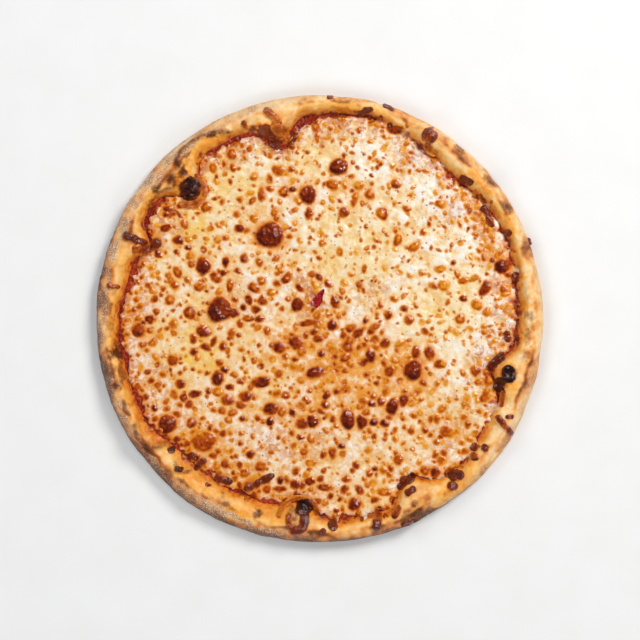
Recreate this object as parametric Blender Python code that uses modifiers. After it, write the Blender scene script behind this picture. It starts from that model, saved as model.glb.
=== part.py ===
"""A whole 12-inch cheese pizza, uncut, lying flat.

The dough base is turned as a plain disc with a round rim, then pulled into its baked shape: the rim's
width and height change round the pizza, folds of dough reach in over the sauce, and bubbles stand up.
Tomato sauce lies in the well inside the rim, and one melted sheet of cheese lies on the sauce, with its
browned bubbles as relief. Shreds and drops of cheese that fell on the rim are separate browned pieces.
The origin is the middle of the flat underside, +Z is up, and all lengths are in metres.
"""

import math

import bmesh
import bpy
import numpy as np
from mathutils import Vector, noise
from mathutils.bvhtree import BVHTree
from mathutils.geometry import delaunay_2d_cdt

MM = 0.001

# Driving sizes of the dough
RADIUS = 152.5 * MM  # a 12-inch pizza
BASE_THICKNESS = 3.5 * MM  # dough under the sauce
RIM_HEIGHT = 15.0 * MM  # mean height of the rim's crown
RIM_HEIGHT_SPREAD = 1.6 * MM
EDGE_HEIGHT = 5.5 * MM  # height of the widest point of the outside
UNDERSIDE_ROUND = 7.0 * MM  # how far the flat underside stops short of the widest point
CROWN_PLACE = 0.42  # where the crown stands, as a share of the rim's width from outside
# How far the outline stands out from the circle in the middle of each quarter, from the +X +Y one on
QUARTER_BULGES = [-0.6 * MM, 0.5 * MM, 1.0 * MM, 1.7 * MM]
EDGE_RAGGEDNESS = 1.0 * MM
PLAIN_RIM_WIDTH = 18.0 * MM  # the turned disc's rim, before it is pulled into shape
RIM_LUMPS = 0.7 * MM
RIM_LUMP_LENGTH = 14.0 * MM

# Width of the rim from the outside to the foot of its inner slope, every 15 degrees from +X
RIM_WIDTHS_MM = [
    17, 14, 13, 17, 14.5, 11, 13, 17, 16.5, 18, 15, 20,
    15.5, 16, 16, 22.5, 21, 22, 15.5, 16, 17, 13, 17, 18,
]  # fmt: skip
RIM_NARROW = 16.0 * MM  # a rim narrower than this is lower too
RIM_LEAST_SHARE = 0.45  # share of the height that a very narrow rim keeps

# Folds of dough that reach in over the sauce: angle and half-width in degrees, reach in mm
FOLDS = [(102.5, 7, 14), (135, 7.5, 16), (157, 5.5, 10), (264.5, 7, 9), (298, 7, 12), (344, 7.5, 13)]

# Bubbles of baked dough on the rim: angle in degrees, then distance from the middle, radius and height in mm
DOUGH_BUBBLES = [
    (135.3, 124.5, 7.5, 3.2),
    (59.1, 145.0, 6.5, 3.0),
    (264.9, 129.5, 8.0, 2.6),
    (343.4, 134.5, 5.5, 2.5),
    (339.9, 130.5, 4.5, 2.0),
    (301.0, 130.0, 7.0, 2.4),
    (103.0, 124.5, 7.0, 1.8),
    (215.0, 135.0, 9.0, 1.6),
    (180.0, 143.0, 8.0, 1.0),
    (38.0, 146.0, 8.0, 1.2),
]

# The sauce and the cheese lie on the base and on each other, a hair apart
GAP = 0.3 * MM
SAUCE_THICKNESS = 1.2 * MM
SAUCE_LUMPS = 0.25 * MM
SAUCE_SPACING = 11.0 * MM
SAUCE_BARE_WIDTH = 1.0 * MM  # the least width of sauce that shows between rim and cheese
# Where more sauce shows: angle and half-width in degrees, width of bare sauce in mm
SAUCE_BAYS = [
    (8, 7, 2.5), (25, 5, 3.5), (38, 8, 3.0), (62, 4, 2.0), (92, 7, 3.5), (113, 7, 3.0), (143, 5, 3.5),
    (180, 9, 2.5), (202.5, 5, 6.5), (232, 6, 2.0), (252, 8, 2.5), (350, 6, 2.5),
]  # fmt: skip

CHEESE_THICKNESS = 2.4 * MM
CHEESE_EDGE_THICKNESS = 1.0 * MM
CHEESE_EDGE_ROUND = 6.0 * MM  # how far in from its edge the cheese reaches its full thickness
CHEESE_WAVES = 0.45 * MM
CHEESE_WAVE_LENGTH = 16.0 * MM
CHEESE_SPACING = 6.4 * MM
# The tear near the middle where the sauce shows: place, length and width in mm, direction in degrees
TEAR = (-1.0, 9.0, 11.0, 5.5, 65)

# Browned bubbles in the cheese: x, y, radius and height in mm
CHEESE_BUBBLES = [
    (-34.3, 57.3, 8.5, 3.2), (-68.2, 6.3, 7.7, 3.4), (-8.2, 84.5, 6.2, 2.8), (12.8, 104.0, 6.0, 2.6),
    (-15.4, 9.4, 4.6, 2.2), (63.6, -35.0, 7.0, 3.0), (18.9, -68.8, 5.4, 2.6), (28.6, -70.8, 4.6, 2.2),
    (49.6, -59.8, 5.0, 2.3), (57.0, -55.8, 4.0, 2.0), (-79.8, 36.1, 5.8, 1.8), (-123.9, -8.0, 5.2, 2.0),
    (-104.6, -72.7, 6.4, 2.8), (-78.9, -83.5, 8.0, 2.0), (-69.8, -40.7, 5.0, 1.8), (-40.4, -43.4, 5.6, 2.0),
    (125.2, 35.6, 6.6, 3.0), (123.5, -27.0, 6.0, 2.4), (-33.6, -61.6, 5.0, 1.8), (23.6, -127.0, 5.2, 2.2),
    (-16.2, -19.8, 5.0, 1.8), (44.3, -19.5, 4.2, 1.8), (34.2, -26.5, 5.0, 2.0), (-28.0, 101.5, 4.8, 1.6),
    (65.4, -22.8, 4.0, 1.8), (75.0, -23.6, 4.2, 1.8), (16.2, 72.4, 4.4, 1.8), (42.4, 71.8, 4.4, 1.8),
    (51.6, 92.2, 4.6, 1.8), (-44.6, -104.6, 7.0, 2.0), (86.9, -77.4, 5.0, 1.4), (-89.0, 3.8, 4.6, 1.8),
]  # fmt: skip

# Cheese that lies browned on the rim: name, points along its middle in mm, half-width and thickness in mm
RIM_CHEESE = [
    ("shred_top", [(-35.4, 139.6), (-32.6, 136.2), (-29.6, 132.9)], 3.0, 2.6),
    ("shred_top_stub", [(-51.6, 132.9), (-50.7, 131.2)], 1.8, 1.8),
    ("shred_left", [(-143.9, 22.6), (-140.4, 21.9), (-137.2, 21.5)], 1.8, 1.9),
    ("shred_upper_left", [(-131.9, 56.9), (-127.4, 54.6), (-123.0, 52.4), (-119.2, 51.2)], 2.6, 2.4),
    ("shred_bottom", [(39.5, -133.0), (38.9, -138.0), (38.3, -142.6)], 2.9, 2.6),
    ("shred_right", [(121.2, -67.6), (124.6, -71.8), (127.6, -75.4)], 2.0, 2.2),
    ("shred_right_stub", [(127.0, -66.6), (130.6, -66.9)], 1.5, 1.6),
    ("shred_lower_right", [(89.6, -107.0), (92.6, -106.0), (95.4, -106.6)], 3.3, 3.0),
    ("shred_lower_right_curl", [(88.6, -113.2), (91.6, -114.2)], 2.7, 2.4),
    ("shred_fold", [(50.4, -134.4), (52.0, -131.2), (53.4, -128.4)], 2.0, 2.0),
    ("drop_upper_right", [(73.6, 124.6), (75.0, 123.4)], 5.2, 3.2),
    ("drop_bottom", [(8.4, -139.8), (9.4, -141.0)], 3.6, 2.6),
    ("drop_bottom_small", [(1.7, -144.0), (2.2, -145.4)], 2.2, 1.8),
    ("drop_lower_left", [(-101.9, -89.9), (-101.1, -89.3)], 2.4, 2.0),
    ("shred_lower_left", [(-97.6, -101.8), (-96.0, -102.6), (-94.2, -102.4)], 1.9, 1.9),
    ("drop_right", [(105.6, -86.6), (104.9, -88.6)], 2.4, 2.0),
]
DRAPE_GAP = 0.4 * MM
DRAPE_REACH = 1.1 * MM  # a piece clears the highest place within this reach, so it bridges small steps
RING_SIDES = 8
STATION_SPACING = 2.2 * MM
END_LIFT = 0.3  # height of a piece's tip, as a share of its thickness

TURN_STEPS = 180  # steps round the pizza, the same for every layer so that their edges run parallel
FOLD_SHARPNESS = 1.3  # how round a fold's end is: 1 is round, 2 a bell with a soft foot


def bell(distance, sharpness=2.0):
    """1 at no distance, falling smoothly to 0 at a distance of 1 and beyond."""
    return math.cos(min(abs(distance), 1.0) * math.pi / 2) ** sharpness


def degrees_apart(a, b):
    return (a - b + 180) % 360 - 180


def along_ring(values, angle):
    """A smooth value round the pizza, from values evenly spaced round it. The angle is in degrees."""
    place = (angle % 360) / 360 * len(values)
    first = int(place)
    before, here, after, beyond = (values[(first + k) % len(values)] for k in (-1, 0, 1, 2))
    t = place - first
    curve = 2 * here + (after - before) * t + (2 * before - 5 * here + 4 * after - beyond) * t * t
    return 0.5 * (curve + (3 * here - before - 3 * after + beyond) * t**3)


def ring_noise(angle, waves, seed):
    """Noise from -1 to 1 that closes on itself round the pizza."""
    turn = math.radians(angle)
    return noise.noise(Vector((waves * math.cos(turn), waves * math.sin(turn), seed)) / 2)


def outer_radius(angle):
    """The outline's radius. It is exactly RADIUS at the four quarter points, which set the box."""
    share = math.sin(2 * math.radians(angle)) ** 2
    bulge = QUARTER_BULGES[int(angle % 360 / 90) % 4]
    return RADIUS + share * (bulge + EDGE_RAGGEDNESS * ring_noise(angle, 9, 3.7))


def rim_width(angle):
    reach = sum(mm * bell(degrees_apart(angle, at) / half, FOLD_SHARPNESS) for at, half, mm in FOLDS)
    return (along_ring(RIM_WIDTHS_MM, angle) + reach) * MM


def foot_radius(angle):
    """Where the rim's inner slope meets the well that holds the sauce."""
    return outer_radius(angle) - rim_width(angle)


def rim_height(angle):
    share = RIM_LEAST_SHARE + (1 - RIM_LEAST_SHARE) * min(1.0, rim_width(angle) / RIM_NARROW)
    return RIM_HEIGHT * share + RIM_HEIGHT_SPREAD * ring_noise(angle, 6, 9.1)


def cheese_radius(angle):
    bare = sum(mm * MM * bell(degrees_apart(angle, at) / half) for at, half, mm in SAUCE_BAYS)
    ragged = 0.6 * MM * ring_noise(angle, 40, 5.5)
    return foot_radius(angle) - GAP - max(SAUCE_BARE_WIDTH + bare + ragged, 2 * GAP)


def polar(x, y):
    return math.degrees(math.atan2(y, x)), math.hypot(x, y)


def place_at(angle, radius):
    turn = math.radians(angle)
    return radius * math.cos(turn), radius * math.sin(turn)


def dome(x, y, bubbles):
    """Height of the tallest bubble at this place. Each is a round cap with a soft foot."""
    height = 0.0
    for at_x, at_y, radius, rise in bubbles:
        share = math.hypot(x - at_x, y - at_y) / radius
        if share < 1:
            height = max(height, rise * (1 - share * share) ** 0.75)
    return height


# Modelling tools


def material(name, rgb, roughness):
    made = bpy.data.materials.new(name)
    made.use_nodes = True
    shader = made.node_tree.nodes["Principled BSDF"]
    shader.inputs["Base Color"].default_value = (*rgb, 1)
    shader.inputs["Roughness"].default_value = roughness
    shader.inputs["Metallic"].default_value = 0
    return made


def collection(name):
    made = bpy.data.collections.new(name)
    bpy.context.scene.collection.children.link(made)
    return made


def add_object(name, mesh, finish, into):
    made = bpy.data.objects.new(name, mesh)
    made.data.materials.clear()
    made.data.materials.append(finish)
    mesh.shade_smooth()
    into.objects.link(made)
    return made


def closed_mesh(name, mesh):
    """A plain mesh from a bmesh, with every face turned outwards."""
    bmesh.ops.recalc_face_normals(mesh, faces=mesh.faces[:])
    made = bpy.data.meshes.new(name)
    mesh.to_mesh(made)
    mesh.free()
    return made


def arc(centre, sizes, start, end, steps):
    """Points on a quarter or part of an ellipse, its ends included. Angles are in degrees."""
    turns = np.radians(np.linspace(start, end, steps + 1))
    return [(centre[0] + sizes[0] * math.cos(t), centre[1] + sizes[1] * math.sin(t)) for t in turns]


def turned_mesh(profile, steps):
    """The profile, in (radius, height), turned round Z with a Screw modifier, as a plain mesh."""
    line = bpy.data.meshes.new("profile")
    edges = [(i, i + 1) for i in range(len(profile) - 1)]
    line.from_pydata([(r, 0, z) for r, z in profile], edges, [])
    carrier = bpy.data.objects.new("profile", line)
    bpy.context.scene.collection.objects.link(carrier)
    screw = carrier.modifiers.new("turn", "SCREW")
    screw.steps = screw.render_steps = steps
    screw.use_merge_vertices = True
    screw.merge_threshold = 0.01 * MM
    bpy.context.view_layer.update()
    graph = bpy.context.evaluated_depsgraph_get()
    mesh = bpy.data.meshes.new_from_object(carrier.evaluated_get(graph))
    bpy.data.objects.remove(carrier)
    return mesh


def in_outline(x, y, outline_radius, margin):
    angle, radius = polar(x, y)
    return radius < outline_radius(angle) - margin


def in_tear(x, y, margin):
    """Whether a place lies in the tear or within the margin of it."""
    at_x, at_y, length, width, direction = TEAR
    turn = math.radians(direction)
    dx, dy = x - at_x * MM, y - at_y * MM
    along = dx * math.cos(turn) + dy * math.sin(turn)
    across = dy * math.cos(turn) - dx * math.sin(turn)
    return math.hypot(along / (length / 2 * MM + margin), across / (width / 2 * MM + margin)) < 1


def tear_loop(steps=12):
    at_x, at_y, length, width, direction = TEAR
    turn = math.radians(direction)
    loop = []
    for along, across in arc((0, 0), (length / 2 * MM, width / 2 * MM), 0, 360, steps)[:-1]:
        x = at_x * MM + along * math.cos(turn) - across * math.sin(turn)
        y = at_y * MM + along * math.sin(turn) + across * math.cos(turn)
        loop.append((x, y))
    return loop


def staggered_places(outline_radius, spacing):
    """Places in a staggered grid inside the outline, a little uneven so that no rows show."""
    rows = int(2 * RADIUS / (spacing * math.sqrt(3) / 2)) + 1
    found = []
    for row in range(rows):
        y = -RADIUS + row * spacing * math.sqrt(3) / 2
        for column in range(int(2 * RADIUS / spacing) + 1):
            x = -RADIUS + (column + row % 2 / 2) * spacing
            shifts = [noise.noise(Vector((x / spacing, y / spacing, seed))) for seed in (0.5, 7.5)]
            if in_outline(x, y, outline_radius, spacing * 0.6):
                found.append((x + 0.3 * spacing * shifts[0], y + 0.3 * spacing * shifts[1]))
    return found


def filled(loops, inner_places):
    """Triangles inside the first loop and outside the others, through the inner places too."""
    places, outlines = [], []
    for loop in loops:
        outlines.append(list(range(len(places), len(places) + len(loop))))
        places += loop
    made = delaunay_2d_cdt([Vector(p) for p in places + inner_places], [], outlines, 0, 1e-7, True)
    points, triangles, within = made[0], made[2], made[5]
    return points, [t for t, outline in zip(triangles, within) if outline == [0]]


def layer_mesh(name, loops, inner_places, top, bottom_height):
    """A closed sheet: a triangulated top with relief, a flat bottom, and a wall along each loop."""
    mesh = bmesh.new()
    points, faces = filled(loops, inner_places)
    upper = [mesh.verts.new((p.x, p.y, top(p.x, p.y))) for p in points]
    for face in faces:
        mesh.faces.new([upper[i] for i in face])
    lower_points, lower_faces = filled(loops, [])
    lower = [mesh.verts.new((p.x, p.y, bottom_height)) for p in lower_points]
    for face in lower_faces:
        mesh.faces.new([lower[i] for i in reversed(face)])
    start = 0
    for loop in loops:
        for i in range(len(loop)):
            a, b = start + i, start + (i + 1) % len(loop)
            mesh.faces.new((upper[b], upper[a], lower[a], lower[b]))
        start += len(loop)
    loose = [v for v in mesh.verts if not v.link_faces]
    bmesh.ops.delete(mesh, geom=loose, context="VERTS")
    return closed_mesh(name, mesh)


# The dough base with its rim


def dough_profile():
    """Half the section of a plain round dough disc, from the middle of the well to the underside."""
    crown = RADIUS - CROWN_PLACE * PLAIN_RIM_WIDTH
    foot = RADIUS - PLAIN_RIM_WIDTH
    well = [(0, BASE_THICKNESS), (foot, BASE_THICKNESS)]
    slope = []
    for t in np.linspace(0, 1, 8)[1:-1]:
        rise = t * t * (3 - 2 * t)
        slope.append((foot + (crown - foot) * t, BASE_THICKNESS + (RIM_HEIGHT - BASE_THICKNESS) * rise**0.8))
    outside = arc((crown, EDGE_HEIGHT), (RADIUS - crown, RIM_HEIGHT - EDGE_HEIGHT), 90, 0, 6)
    under_centre = (RADIUS - UNDERSIDE_ROUND, EDGE_HEIGHT)
    underside = arc(under_centre, (UNDERSIDE_ROUND, EDGE_HEIGHT), 0, -90, 3)[1:]
    return well + slope + outside + underside + [(0, 0)]


def bake_dough(vertex, bubbles):
    """Moves a vertex of the turned disc to its place in the baked one."""
    angle, radius = polar(vertex.x, vertex.y)
    height = vertex.z
    from_outside = RADIUS - radius
    if height < min(EDGE_HEIGHT, BASE_THICKNESS) - 0.01 * MM:
        new_radius = radius * outer_radius(angle) / RADIUS
    elif from_outside > PLAIN_RIM_WIDTH:
        new_radius = radius / (RADIUS - PLAIN_RIM_WIDTH) * foot_radius(angle)
    else:
        share = from_outside / PLAIN_RIM_WIDTH
        new_radius = outer_radius(angle) - share * rim_width(angle)
    x, y = place_at(angle, new_radius)
    risen = max(0.0, height - EDGE_HEIGHT) / (RIM_HEIGHT - EDGE_HEIGHT)
    height += risen * (rim_height(angle) - RIM_HEIGHT)
    lump = noise.noise(Vector((x, y, height)) / RIM_LUMP_LENGTH)
    above_well = min(1.0, max(0.0, height - BASE_THICKNESS) / (4 * MM))
    height += above_well * (RIM_LUMPS * lump + dome(x, y, bubbles))
    return Vector((x, y, height))


def make_crust(into):
    mesh = turned_mesh(dough_profile(), TURN_STEPS)
    bubbles = [(*place_at(angle, r * MM), size * MM, rise * MM) for angle, r, size, rise in DOUGH_BUBBLES]
    for vertex in mesh.vertices:
        vertex.co = bake_dough(vertex.co, bubbles)
    return add_object("crust", mesh, material("baked_dough", (0.72, 0.42, 0.17), 0.7), into)


# The tomato sauce


def make_sauce(into):
    edge = [place_at(a, foot_radius(a) - GAP) for a in np.linspace(0, 360, TURN_STEPS, endpoint=False)]
    inner = staggered_places(foot_radius, SAUCE_SPACING)
    bottom = BASE_THICKNESS + GAP

    def top(x, y):
        lump = noise.noise(Vector((x, y, 0)) / SAUCE_SPACING)
        return bottom + SAUCE_THICKNESS + SAUCE_LUMPS * (lump - 1)

    mesh = layer_mesh("sauce", [edge], inner, top, bottom)
    return add_object("sauce", mesh, material("tomato_sauce", (0.38, 0.035, 0.012), 0.35), into)


# The melted cheese


def bubble_places(bubbles):
    """Places on and round each bubble, so that the sheet's mesh follows it."""
    found = []
    for x, y, radius, _ in bubbles:
        found.append((x, y))
        for share, count in ((0.55, 5), (0.9, 8), (1.15, 8)):
            turns = [math.tau * (i + share) / count for i in range(count)]
            found += [(x + share * radius * math.cos(t), y + share * radius * math.sin(t)) for t in turns]
    return found


def cheese_top(bubbles, bottom):
    def top(x, y):
        angle, radius = polar(x, y)
        inward = min(1.0, max(0.0, cheese_radius(angle) - radius) / CHEESE_EDGE_ROUND)
        full = math.sqrt(1 - (1 - inward) ** 2)
        thickness = CHEESE_EDGE_THICKNESS + (CHEESE_THICKNESS - CHEESE_EDGE_THICKNESS) * full
        if in_tear(x, y, 0.2 * MM):
            thickness = CHEESE_EDGE_THICKNESS
        waves = CHEESE_WAVES * noise.noise(Vector((x, y, 0)) / CHEESE_WAVE_LENGTH)
        return bottom + thickness + waves * full + dome(x, y, bubbles)

    return top


def make_cheese(into):
    bubbles = [tuple(value * MM for value in bubble) for bubble in CHEESE_BUBBLES]
    edge = [place_at(a, cheese_radius(a)) for a in np.linspace(0, 360, TURN_STEPS, endpoint=False)]

    def clear_of_bubbles(x, y):
        return all(math.hypot(x - bx, y - by) > 1.3 * radius for bx, by, radius, _ in bubbles)

    places = [p for p in staggered_places(cheese_radius, CHEESE_SPACING) if clear_of_bubbles(*p)]
    on_bubbles = [p for p in bubble_places(bubbles) if in_outline(*p, cheese_radius, 1 * MM)]
    inner = [p for p in places + on_bubbles if not in_tear(*p, 1 * MM)]
    bottom = BASE_THICKNESS + SAUCE_THICKNESS + 2 * GAP
    mesh = layer_mesh("cheese", [edge, tear_loop()], inner, cheese_top(bubbles, bottom), bottom)
    return add_object("cheese", mesh, material("melted_cheese", (0.86, 0.62, 0.33), 0.4), into)


# Browned cheese on the rim


def spine_places(ends, half_width):
    """Places along the middle of a piece, nearer each other towards its two ends.

    The named points are the middles of the piece's round ends, so the places start half a width before them.
    """
    knots = [Vector(p) * MM for p in ends]
    knots[0] = knots[0] + (knots[0] - knots[1]).normalized() * half_width
    knots[-1] = knots[-1] + (knots[-1] - knots[-2]).normalized() * half_width
    length = sum((b - a).length for a, b in zip(knots, knots[1:]))
    count = max(6, round(length / STATION_SPACING))
    knots = [2 * knots[0] - knots[1], *knots, 2 * knots[-1] - knots[-2]]
    found = []
    for i in range(count + 1):
        place = (1 - math.cos(math.pi * i / count)) / 2 * (len(knots) - 3)
        first = min(int(place), len(knots) - 4)
        t = place - first
        before, here, after, beyond = knots[first : first + 4]
        curve = 2 * here + (after - before) * t + (2 * before - 5 * here + 4 * after - beyond) * t * t
        found.append(0.5 * (curve + (3 * here - before - 3 * after + beyond) * t**3))
    return found


def surface_under(supports):
    """A function that gives the height of the topmost of these objects at or close round a place."""
    trees = [BVHTree.FromObject(o, bpy.context.evaluated_depsgraph_get()) for o in supports]
    high = 10 * RIM_HEIGHT
    reach = [(0, 0), *arc((0, 0), (DRAPE_REACH, DRAPE_REACH), 0, 315, 7)]

    def height(x, y):
        starts = [Vector((x + dx, y + dy, high)) for dx, dy in reach]
        hits = [tree.ray_cast(start, Vector((0, 0, -1)))[0] for tree in trees for start in starts]
        return max(hit.z for hit in hits if hit)

    return height


def rim_piece(name, ends, half_width, thickness, height_under, finish, into):
    """A shred or drop of cheese that lies on the dough: rings across its spine, and a point at each end."""
    spine = spine_places(ends, half_width)
    mesh = bmesh.new()

    def point(at, lift):
        return mesh.verts.new((at.x, at.y, height_under(at.x, at.y) + DRAPE_GAP + lift))

    rings = []
    for i in range(1, len(spine) - 1):
        ahead = (spine[i + 1] - spine[i - 1]).normalized()
        side = Vector((-ahead.y, ahead.x))
        from_end = min((spine[i] - spine[0]).length, (spine[i] - spine[-1]).length) / half_width
        full = math.sqrt(1 - (1 - min(1.0, from_end)) ** 2)
        turns = [math.tau * k / RING_SIDES for k in range(RING_SIDES)]
        across = [spine[i] + side * (math.cos(t) * half_width * full) for t in turns]
        rings.append([point(at, thickness * full * (1 + math.sin(t)) / 2) for at, t in zip(across, turns)])
    for near, far in zip(rings, rings[1:]):
        for k in range(RING_SIDES):
            after = (k + 1) % RING_SIDES
            mesh.faces.new((near[k], near[after], far[after], far[k]))
    for ring, at in ((rings[0], spine[0]), (rings[-1], spine[-1])):
        tip = point(at, thickness * END_LIFT)
        for k in range(RING_SIDES):
            mesh.faces.new((ring[k], ring[(k + 1) % RING_SIDES], tip))
    return add_object(name, closed_mesh(name, mesh), finish, into)


def make_rim_cheese(supports, into):
    height_under = surface_under(supports)
    finish = material("browned_cheese", (0.22, 0.055, 0.02), 0.35)
    for name, ends, half_width, thickness in RIM_CHEESE:
        rim_piece(name, ends, half_width * MM, thickness * MM, height_under, finish, into)


def main():
    for old in list(bpy.data.objects):
        bpy.data.objects.remove(old)
    pizza = collection("cheese_pizza")
    crust = make_crust(pizza)
    make_sauce(pizza)
    cheese = make_cheese(pizza)
    bpy.context.view_layer.update()
    make_rim_cheese([crust, cheese], pizza)


main()
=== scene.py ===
"""The looks of a whole 12-inch cheese pizza, seen from straight above on a pale floor.

Shapes are worked out in millimetres, from the middle of the pizza's underside, and turned into metres when a mesh
is made. A place read from the photograph is given in its pixels, counted from the top left.
"""

import itertools
import math

import bpy
import numpy as np
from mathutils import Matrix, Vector
from mathutils.bvhtree import BVHTree
from mathutils.geometry import delaunay_2d_cdt


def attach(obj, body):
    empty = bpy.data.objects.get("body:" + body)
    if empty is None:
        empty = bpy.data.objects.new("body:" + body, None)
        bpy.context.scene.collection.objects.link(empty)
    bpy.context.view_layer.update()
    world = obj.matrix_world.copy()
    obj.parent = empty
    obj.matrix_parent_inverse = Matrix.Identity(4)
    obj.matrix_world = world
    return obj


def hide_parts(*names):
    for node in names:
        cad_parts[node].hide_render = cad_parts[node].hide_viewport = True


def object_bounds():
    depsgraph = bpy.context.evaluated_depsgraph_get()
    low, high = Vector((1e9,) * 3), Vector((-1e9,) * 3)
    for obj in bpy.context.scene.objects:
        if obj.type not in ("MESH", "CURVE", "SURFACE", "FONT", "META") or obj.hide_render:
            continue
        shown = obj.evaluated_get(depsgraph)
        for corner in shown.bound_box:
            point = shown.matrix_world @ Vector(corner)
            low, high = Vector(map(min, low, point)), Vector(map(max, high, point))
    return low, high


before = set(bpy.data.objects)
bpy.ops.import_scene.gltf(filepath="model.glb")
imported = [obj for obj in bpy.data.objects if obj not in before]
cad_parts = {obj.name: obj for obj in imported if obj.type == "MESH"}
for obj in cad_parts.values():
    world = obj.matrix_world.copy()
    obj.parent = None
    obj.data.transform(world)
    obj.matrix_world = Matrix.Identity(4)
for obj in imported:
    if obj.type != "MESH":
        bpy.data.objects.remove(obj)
cad_box = [[float(v) for v in corner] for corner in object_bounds()]

# CRUST
# A round of yeast dough, pressed thin in the middle and left thick at the edge, which puffed up and browned in a hot
# oven. Its foot, crown and outline are read from the solid, and the grid between them is moved by lumps, hollows and
# ridges. Flour from the bench is left on its outside.
MM = 0.001  # in metres
MM_PER_PIXEL = 0.684
MIDDLE_PIXEL = (320.0, 318.5)
BASE_THICKNESS = 3.5
WELL_RADIUS = 80.0  # all of the base within this lies flat
CROWN_PLACE = 0.42  # where the rim is highest, as a share of its width from the outline
EDGE_HEIGHT = 5.5
UNDERSIDE_ROUND = 7.0
OUTLINE_INSET, CROWN_INSET = 0.4, 0.3  # room for the lumps
CRUST_STEPS = 960
SLOPE_STATIONS, OUTSIDE_STATIONS, UNDER_STATIONS = 32, 25, 9
TURNS = np.radians(np.arange(0, 360, 0.5))


def from_photo(x, y):
    """The place in millimetres of a pixel of the photograph."""
    return (x - MIDDLE_PIXEL[0]) * MM_PER_PIXEL, (MIDDLE_PIXEL[1] - y) * MM_PER_PIXEL


def node_points(name):
    """The corners of a solid, in mm."""
    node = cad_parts[name]
    found = np.empty(len(node.data.vertices) * 3)
    node.data.vertices.foreach_get("co", found)
    matrix = np.array(node.matrix_world)
    return (found.reshape(-1, 3) @ matrix[:3, :3].T + matrix[:3, 3]) / MM


def polar(points):
    """The direction and distance of each point from the middle."""
    return np.arctan2(points[:, 1], points[:, 0]) % math.tau, np.hypot(points[:, 0], points[:, 1])


def on_circles(radius, turns, height):
    """Points at these distances from the middle, in these directions and at these heights."""
    return np.stack(np.broadcast_arrays(radius * np.cos(turns), radius * np.sin(turns), height), axis=1)


def softened(ring, degrees):
    """A ring of values, one each half degree, with its corners rounded over so many degrees."""
    reach = int(degrees * 2)
    weights = np.cos(np.linspace(-1, 1, 2 * reach + 3)[1:-1] * math.pi / 2)
    wrapped = np.concatenate([ring[-reach:], ring, ring[:reach]])
    return np.convolve(wrapped, weights / weights.sum(), "valid")


def largest_round(points, values, every=2.0, soften=2.0):
    """The largest value among the points in each direction."""
    turn, _ = polar(points)
    place = np.round(np.degrees(turn) / every).astype(int) % int(360 / every)
    best = np.full(int(360 / every), -np.inf)
    np.maximum.at(best, place, values)
    known = np.isfinite(best)
    directions = np.radians(np.arange(len(best))[known] * every)
    return softened(np.interp(TURNS, directions, best[known], period=math.tau), soften)


def ring_of(pairs, soften):
    """A ring of values from (degrees from +X, value) pairs."""
    degrees, values = zip(*pairs)
    return softened(np.interp(TURNS, np.radians(degrees), values, period=math.tau), soften)


def at_turn(ring, turn):
    """The value of a ring in each direction."""
    return np.interp(turn, TURNS, ring, period=math.tau)


def steps(x, low, high):
    """0 below low, 1 above high, smooth in between. It falls where low is above high."""
    t = np.clip((x - low) / (high - low), 0, 1)
    return t * t * (3 - 2 * t)


def noise_at(points, length, seed, octaves=2):
    """Smooth noise from -1 to 1, with lumps of about this length in mm."""
    total = np.zeros(len(points))
    for octave in range(octaves):
        place = points * (1.9**octave / length) + 17.3 * (seed + 5.1 * octave)
        cell = np.floor(place).astype(np.int64)
        t = place - cell
        t = t * t * (3 - 2 * t)
        for corner in itertools.product((0, 1), repeat=3):
            key = (cell + corner) @ np.array([73856093, 19349663, 83492791])
            key = ((key ^ (key >> 13)) * 1274126177) & 0xFFFFFFFF
            key = ((key ^ (key >> 15)) * 2246822519) & 0xFFFFFFFF
            weight = np.prod(np.where(corner, t, 1 - t), axis=1)
            total += weight * (key / 0x7FFFFFFF - 1) / 1.9**octave
    return np.clip(total * 1.15, -1, 1)


def new_piece(name, points, faces):
    """A smooth mesh from points in mm."""
    mesh = bpy.data.meshes.new(name)
    mesh.from_pydata((np.asarray(points) * MM).tolist(), [], faces)
    mesh.shade_smooth()
    made = bpy.data.objects.new(name, mesh)
    bpy.context.scene.collection.objects.link(made)
    return made


def closed_rows(rows, columns, first=0):
    """Faces between rows of points, each row closed on itself. They face up where the rows widen."""
    here = first + np.arange(rows * columns).reshape(rows, columns)
    after = np.roll(here, -1, axis=1)
    return np.stack([here[:-1], here[1:], after[1:], after[:-1]], axis=-1).reshape(-1, 4).tolist()


def tree_of(points, faces):
    """A mesh to be searched for the surface under a place."""
    return BVHTree.FromPolygons([Vector(p) for p in points], faces)


def height_on(tree, points, missing=0.0):
    """The height of the surface straight above or below each place."""
    down = Vector((0, 0, -1))
    hits = (tree.ray_cast(Vector((x, y, 60)), down)[0] for x, y in points[:, :2].tolist())
    return np.array([hit.z if hit else missing for hit in hits])


def paint(piece, name, *channels):
    """Stores up to four fields from 0 to 1 on the piece's points, which its material reads by this name."""
    values = np.ones((len(piece.data.vertices), 4))
    for i, channel in enumerate(channels):
        values[:, i] = np.clip(channel, 0, 1)
    layer = piece.data.attributes.new(name, "FLOAT_COLOR", "POINT")
    layer.data.foreach_set("color", values.ravel())


def along_and_across(dx, dy, direction):
    """Offsets in x and y as offsets along and across a direction."""
    c, s = math.cos(direction), math.sin(direction)
    return dx * c + dy * s, dy * c - dx * s


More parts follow.
